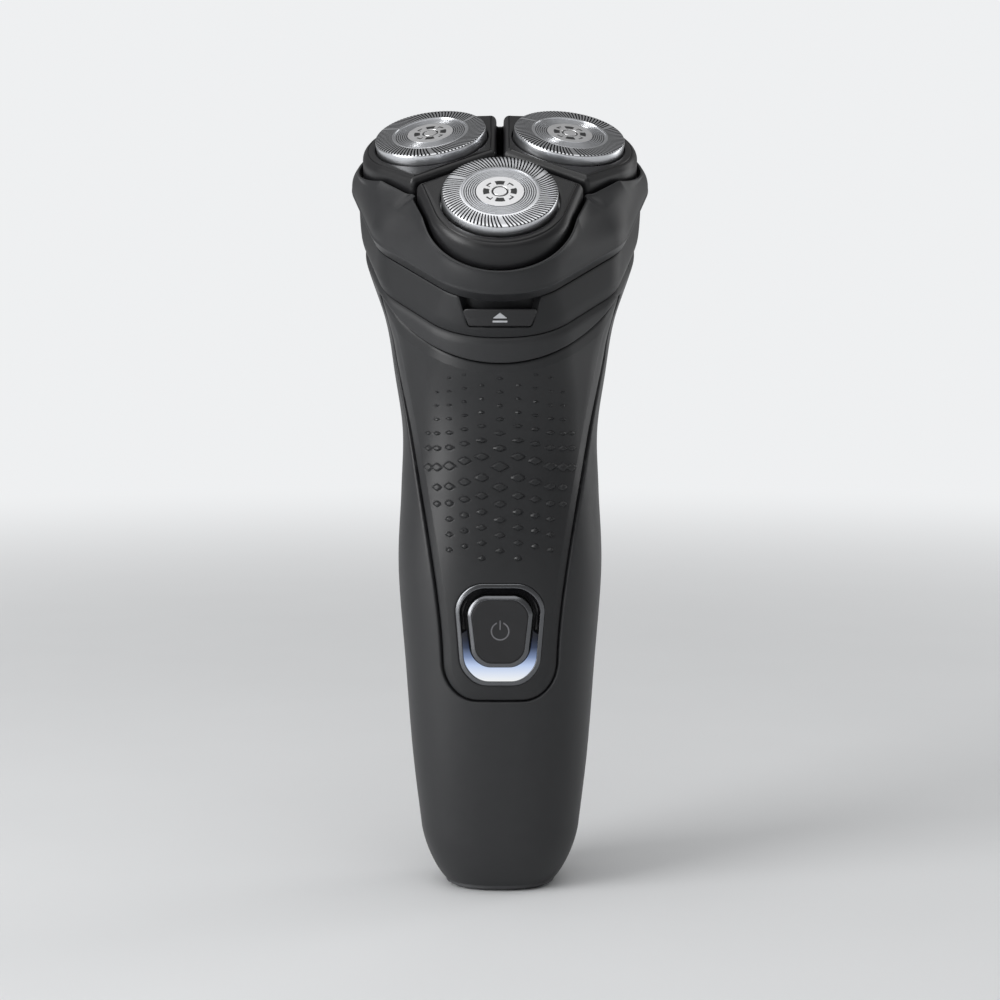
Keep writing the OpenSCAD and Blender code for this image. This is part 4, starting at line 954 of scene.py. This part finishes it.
COLLAR_W, COLLAR_L, COLLAR_Y = 60.8, 55.2, -3.9
RIM_D, RIM_ARC, RIM_RISE, RIM_WALL = -6.9, 80.0, 2.6, 0.62
DRIVE_RING, WELL_R, FLOOR_H, UNDER_H = 14.831, 13.97, -10.85, -13.0
RIM_LEAST, BORE_LEAST, NOTCH_X, NOTCH_Y, NOTCH_H = 19.2, 18.9, 7.4, 19.4, -13.4


def collar_loop(inset):
    """The collar's plan at its lip, made smaller all round: [x, y]."""
    u = unit_section(DENSE, 1.0)
    return np.column_stack([u[:, 0] * (COLLAR_W / 2 - inset), COLLAR_Y + u[:, 1] * (COLLAR_L / 2 - inset)])


def rim_height():
    """Height of the rim over the angle from the nearest holder's front, 0 to 60 degrees."""
    at, high = [], []
    for t in np.radians(np.linspace(0, RIM_ARC, 60)):
        d = RIM_D + RIM_RISE * (math.degrees(t) / RIM_ARC) ** 2
        q = pod_to_head(0, [(POD_R + 1.0) * math.sin(t), -(POD_R + 1.0) * math.cos(t) + pod_drift(d), d])
        at.append(math.degrees(math.atan2(q[0], -q[1])))
        high.append(q[2])
    return at + [60.0], high + [high[-1] + 0.12]


def bore_at(i, height, grow):
    """Plan of a holder's bore, which runs along the cap's axis, at one height of the head."""
    outline, _ = pod_outline(POD_BOTTOM, grow)
    d = (height - outline[:, 1] * math.sin(LEAN)) / math.cos(LEAN)
    return pod_to_head(i, np.column_stack([outline, d]))[:, :2]


def soften(values, degrees):
    """A closed list of values, averaged over a bell of some degrees."""
    n = len(values)
    step = np.fft.fftfreq(n, 1.0 / n)
    return np.real(np.fft.ifft(np.fft.fft(values) * np.exp(-0.5 * (step * math.radians(degrees)) ** 2)))


def build_collar():
    count = 900
    angles = 2 * math.pi * np.arange(count) / count
    full, slim = collar_loop(0.0), collar_loop(1.0)
    at, high = rim_height()
    folded = (np.degrees(angles) + 60) % 120 - 60
    hs = np.interp(np.abs(folded), at, high)
    levels = np.unique(np.round(hs, 2))
    top_bores = [[bore_at(i, h, POD_GAP) for i in range(3)] for h in levels]
    bores = []
    for a, h in zip(angles, hs):
        nearest = top_bores[int(np.argmin(np.abs(levels - h)))]
        bores.append(max([polar_radius(q, a) for q in nearest] + [RIM_LEAST]))
    bores = np.array(bores)
    low = [bore_at(i, -10.2, POD_GAP) for i in range(3)]
    soft_h, soft_bore = soften(hs, 13), soften(bores, 13)
    skin_t = np.concatenate([np.linspace(0, 0.8, 11), np.linspace(0.84, 1, 5)])
    rings = None
    for k, angle in enumerate(angles):
        # one profile, radius and height, from the skirt's inner edge out and up over the rim into the bore
        wide, base = polar_radius(full, angle), polar_radius(slim, angle)
        h, bore = hs[k], bores[k]
        low_bore = min(max([polar_radius(q, angle) for q in low] + [BORE_LEAST]), wide - 1.4)
        inner = 9.0
        for i in range(3):
            off = angle - math.radians(120 * i)
            side = DRIVE_RING * math.sin(off)
            if abs(side) < WELL_R and math.cos(off) > 0:
                inner = max(inner, DRIVE_RING * math.cos(off) + math.sqrt(WELL_R * WELL_R - side * side))
        rim = bore + RIM_WALL
        y = -wide * math.cos(angle)
        foot = skirt_at(y)
        lip = LIP_H + 0.25
        profile = [(base - 0.3, foot), (base - 0.05, foot + 0.02), (base + 0.04, foot + 0.12),
                   (wide - 0.1, LIP_H - 0.42), (wide + 0.05, LIP_H - 0.22), (wide + 0.09, LIP_H - 0.02),
                   (wide + 0.05, LIP_H + 0.14)]
        for t in skin_t:
            share = float(smooth((t - 0.8) / 0.2))
            top_r = (soft_bore[k] + RIM_WALL) * (1 - share) + rim * share
            top_h = soft_h[k] * (1 - share) + h * share
            p1_h = lip + 0.52 * (soft_h[k] - lip)
            a, b, c = (1 - t) ** 2, 2 * t * (1 - t), t * t
            profile.append((a * wide + b * (wide + 0.14) + c * top_r,
                            a * lip + b * p1_h + c * (top_h - 0.1)))
        profile += [(rim - 0.14, h + 0.03), (rim - 0.34, h + 0.08), (rim - 0.54, h - 0.02),
                    (bore, h - 0.28), (bore * 0.5 + low_bore * 0.5, h * 0.5 - 5.0), (low_bore, -10.5),
                    (low_bore - 0.2, -10.8), (inner, FLOOR_H), (inner, UNDER_H), (inner, foot)]
        if rings is None:
            rings = [[] for _ in profile]
        for ring, (r, z) in zip(rings, profile):
            ring.append([r * math.sin(angle), -r * math.cos(angle), z])
    p, f = closed_loft([np.array(r) for r in rings])
    # a notch at the back makes room for the hinge
    notch = (np.abs(p[:, 0]) < NOTCH_X) & (p[:, 1] > NOTCH_Y) & (p[:, 2] < NOTCH_H)
    p[notch, 2] = NOTCH_H
    f = [face[::-1] for face in f]
    piece("collar_shell", head(p), f, M_collar, "shaving_unit", ("collar",), angle=40)


FOIL = 0.42


def build_cap(i, side):
    # each of the 90 slots takes four points round the cap, at these shares of its pitch
    slots, per = 90, 4
    count = slots * per
    share = [0.0, 0.1, 0.56, 0.66]
    # radius and height of the rings, from the middle out, and how each band between two rings is finished
    profile = [(0.35, -0.1), (0.9, -0.1), (1.24, -0.1), (1.3, -0.18), (1.64, -0.18)]
    profile += [(r, -0.1) for r in (1.7, 2.08, 2.36, 2.92, 3.28, 3.42, 4.2, 4.62)] + [(4.68, -0.3)]
    # rows painted near-black as painted shade: the ring round the middle, the windows and the grooves
    shade_ring, window_in, disc_end = 3, 6, 12
    grooves = []
    r = 4.84
    while r < 6.6:
        grooves.append(len(profile) - 1)
        profile += [(r, -0.3), (r + 0.04, -0.18), (r + 0.26, -0.18), (r + 0.3, -0.3)]
        r += 0.43
    grooves.append(len(profile) - 1)
    profile += [(r, -0.3), (r + 0.04, -0.2), (7.36, -0.2), (7.44, 0.0), (7.62, 0.0), (7.7, -0.04)]
    slot_in = len(profile)
    profile += [(r, -0.05) for r in (7.78, 8.6, 9.4, 10.2)]
    profile += [(10.82, -0.06), (11.0, -0.11), (11.13, -0.22)]
    slot_out = len(profile) - 1
    profile += [(11.21, -0.42), (11.25, -0.7), (11.25, -1.6), (11.25, -2.6), (11.25, -3.75), (11.36, -3.9),
                (11.95, -3.9), (12.0, -3.95), (12.0, -4.4)]
    angles = np.array([(k // per + share[k % per]) / slots for k in range(count)]) * 2 * math.pi
    rings = []
    for r, z in profile:
        # the slots lean a little, more so towards the edge
        turn = math.radians(6) * np.clip((r - 7.7) / 3.3, 0, 1)
        rings.append(circle(r, angles + turn, z))
    p, f = loft(rings)
    blank = {7, 37, 67}     # slots left closed
    keep, mark = [list(range(count - 1, -1, -1))], [1]
    for number, face in enumerate(f):
        row, col = divmod(number, count)
        if slot_in <= row < slot_out and col % per == 1 and col // per not in blank:
            continue
        # where this part of the disc lies in the head: four windows, four small hooks between them; the
        # windows, hooks, grooves and the ring round the middle are painted near-black, as painted shade
        seen = (col * 360.0 / count + 120 * i + 45) % 90 - 45
        hook = seen - 45 if seen > 0 else seen + 45
        dark = row == shade_ring or row in grooves
        dark |= window_in <= row < window_in + 3 and abs(seen) < 19
        dark |= row == window_in + 2 and abs(hook) < 12
        dark |= row == window_in + 1 and 6 < hook < 12
        keep.append(face)
        mark.append(2 if dark else 1 if row < disc_end else 0)
    # outward directions for the foil's thickness: up on the face, sideways on the wall
    away = np.zeros_like(p)
    away[:, 2] = 1.0
    radial = np.hypot(p[:, 0], p[:, 1])
    outer = radial > 11.2
    away[outer, 0] = p[outer, 0] / radial[outer]
    away[outer, 1] = p[outer, 1] / radial[outer]
    away[outer & (p[:, 2] < -0.6), 2] = 0.0
    away[outer & (p[:, 2] < -3.8)] = [0, 0, 1]
    top_faces = len(keep)
    q, g = thicken(p, keep, away, FOIL)
    pick = np.zeros(len(g), np.int32)
    pick[:top_faces] = mark
    # the slots' own walls and the foil's inside are dark metal: painted shade
    pick[top_faces:] = 3
    piece("cap_" + side + "_foil", pod(i, q), g, None, "cap_" + side,
          ("shaving_cap_" + side,), angle=28, materials=[M_cap, M_cap_disc, M_cap_shade_paint, M_slot_shade], pick=pick)


# -------- button, its ring and the light
def build_bezel():
    o = bezel_loop
    sections = [(o(2.36), 1.6), (o(2.38), 0.2), (o(2.36), 0.06), (o(2.3), -0.01), (o(2.1), -0.06),
                (o(1.84), -0.12), (o(1.68), -0.155), (o(1.6), -0.15), (o(1.53), -0.1), (o(1.47), 0.02),
                (o(1.42), 0.3), (o(1.36), 0.62), (o(1.3), 0.95)]
    middle = [(button_loop(1.3 - 0.2 * k), 1.0 + 0.1 * k) for k in range(1, 5)]
    # the ring's floor runs up to the button's well
    sections += middle
    sections += [(button_loop(0.14), 1.5), (button_loop(0.12), 3.4), (button_loop(1.2), 3.6), (o(2.2), 1.9)]
    p, f = closed_loft([on_front(loop, depth) for loop, depth in sections])
    # the bands on top of the ring are polished
    pick = np.array([1 <= n // LOOP_POINTS < 9 for n in range(len(f))], np.int32)
    piece("button_ring", p, f, None, "handle", ("switch_bezel",), angle=40,
          materials=[M_gloss, M_rim], pick=pick)


def build_light():
    outer, inner = bezel_loop(1.62), button_loop(0.34)
    # only the lower arc: kept where it stays below this height
    keep = [k for k in range(LOOP_POINTS) if (outer[k, 1] + inner[k, 1]) / 2 < BUTTON_Z - 0.2]
    order = sorted(keep, key=lambda k: k if k < LOOP_POINTS / 2 else k - LOOP_POINTS)
    a, c = outer[order], inner[order]
    rings = []
    for share, depth in ((0.0, 1.5), (0.0, 0.22), (0.05, 0.08), (0.14, 0.0), (0.5, -0.03), (0.86, 0.04),
                         (0.95, 0.12), (1.0, 0.28), (1.0, 1.5)):
        loop = a * (1 - share) + c * share
        rings.append(on_front(loop, depth))
    p, f = closed_loft(rings, wrap=False)
    n = len(order)
    f.append(list(range(0, len(p), n))[::-1])
    f.append(list(range(n - 1, len(p), n)))
    f = [face[::-1] for face in f]
    piece("light_arc", p, f, M_glow, "handle", ("light_ring",), angle=40)


def icon_power(xz):
    """0 on the outline of the power sign, negative inside."""
    x, z = xz[:, 0], xz[:, 1] - BUTTON_Z - 0.08
    r = np.hypot(x, z)
    ring = np.abs(r - 1.72) - 0.14
    opening = 0.62 - np.abs(x)
    ring = np.where(z > 0, np.maximum(ring, opening), ring)
    bar = np.maximum(np.abs(x) - 0.13, np.abs(z - 1.2) - 0.95)
    return np.minimum(ring, bar)


def build_button():
    front = float(front_y([0.0], [BUTTON_Z])[0]) - 0.2
    centre = np.array([0.0, BUTTON_Z])
    rings = []

    def flat(loop, y):
        return np.column_stack([loop[:, 0], np.full(len(loop), y), loop[:, 1]])

    for grow, y in ((-0.02, 2.2), (0.0, 0.8), (-0.01, 0.5), (-0.05, 0.38), (-0.12, 0.31), (-0.4, 0.15),
                    (-0.66, 0.01), (-0.76, -0.02), (-0.82, 0.00), (-0.85, 0.1), (-0.93, 0.12),
                    (-0.97, 0.04), (-1.04, 0.0)):
        rings.append(flat(button_loop(grow), front + y))
    face_edge = button_loop(-1.04)
    for t in np.linspace(1, 0.02, 64)[1:]:
        loop = centre + (face_edge - centre) * t
        rings.append(flat(loop, front + 0.06 * (1 - t * t)))
    p, f = loft(rings, (True, True))
    sign = lambda q: np.where(q[:, 1] < front + 0.4, icon_power(q[:, [0, 2]]), 1.0)
    p, f = cuts(p, f, sign, (0.05, 0.0))
    inside = sign(p) < 0.02
    p[inside, 1] += 0.07
    f = [face[::-1] for face in f]
    centres = np.array([p[g].mean(axis=0) for g in f])
    edge_out = off_loop(centres, button_loop(-0.83)) > 0
    pick = np.where(edge_out & (centres[:, 1] < front + 0.6), 2, sign(centres) < 0.0).astype(np.int32)
    piece("power_key", p, f, None, "power_button", ("power_button",), angle=40,
          materials=[M_button, M_icon_dim, M_rim], pick=pick)


build_shells()
build_panel()
build_neck()
build_release()
build_collar()
for i, side in enumerate(SIDES):
    build_holder(i, side)
    build_cap(i, side)
build_bezel()
build_light()
build_button()

# CAD nodes keep their shape and get finished surfaces; a name that ends in _ stands for all three sides
FINISH = (
    (M_foot_and_highlight, "foot_insert"), (M_cell, "battery"), (M_motor, "motor_can"), (M_copper, "armature"),
    (M_brass, "motor_pinion"), (M_glow, "light_ring"), (M_gloss, "switch_bezel"), (M_pod, "cap_holder_"),
    (M_cap, "shaving_cap_"), (M_cutter_shade, "cutter_"), (M_body, "collar neck_shell"),
    (M_button, "power_button release_button"), (M_chip, "board_components tactile_switch"),
    (M_rubber, "chamber_seal spindle_seals"), (M_board, "circuit_board"),
    (M_black, "charging_inlet chamber_floor hinge_block hinge_lug lock_wheel"),
    (M_gear, "idler_gear drive_gear_ drive_spindle_"),
    (M_inner, "chassis status_leds head_frame retaining_frame switch_plunger retaining_ring_"),
    (M_steel, "inlet_pins battery_tabs housing_screws gear_plate gearbox_screws motor_shaft hinge_pin "
              "release_spring spindle_spring_"))
for material, names in FINISH:
    for name in names.split():
        for side in SIDES if name.endswith("_") else ("",):
            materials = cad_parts[name + side].data.materials
            materials.clear()
            materials.append(material)

# -------- floor
FLOOR_HALF, NEAR_FLOOR, FAR_FLOOR = 3.0, 0.18, 0.85
floor_mesh = bpy.data.meshes.new("floor")
floor_corners = [(x * FLOOR_HALF, y * FLOOR_HALF, 0.0) for x, y in ((-1, -1), (1, -1), (1, 1), (-1, 1))]
floor_mesh.from_pydata(floor_corners, [], [(0, 1, 2, 3)])
floor = add("floor", floor_mesh)
M_floor, floor_tree, floor_b = new_material("floor", (0.74, 0.75, 0.76), 0.6)
grain(floor_tree, floor_b, 300, 0.05, 0.0001, colour=((0.73, 0.74, 0.75), (0.76, 0.77, 0.78)))
# far from the object the floor takes on the backdrop's even tone
far_place = node(floor_tree, "ShaderNodeTexCoord").outputs["Object"]
far_length = node(floor_tree, "ShaderNodeVectorMath", operation="LENGTH")
floor_tree.links.new(far_place, far_length.inputs[0])
far_share = node(floor_tree, "ShaderNodeMapRange", interpolation_type="SMOOTHSTEP", From_Min=NEAR_FLOOR,
                 From_Max=FAR_FLOOR, Value=far_length.outputs["Value"])
far_tone = node(floor_tree, "ShaderNodeEmission", Color=BACKDROP)
far_mix = node(floor_tree, "ShaderNodeMixShader", Fac=far_share.outputs["Result"])
floor_tree.links.new(floor_b.outputs[0], far_mix.inputs[1])
floor_tree.links.new(far_tone.outputs[0], far_mix.inputs[2])
floor_out = [n for n in floor_tree.nodes if n.type == "OUTPUT_MATERIAL"][0]
floor_tree.links.new(far_mix.outputs[0], floor_out.inputs["Surface"])
floor_mesh.materials.append(M_floor)
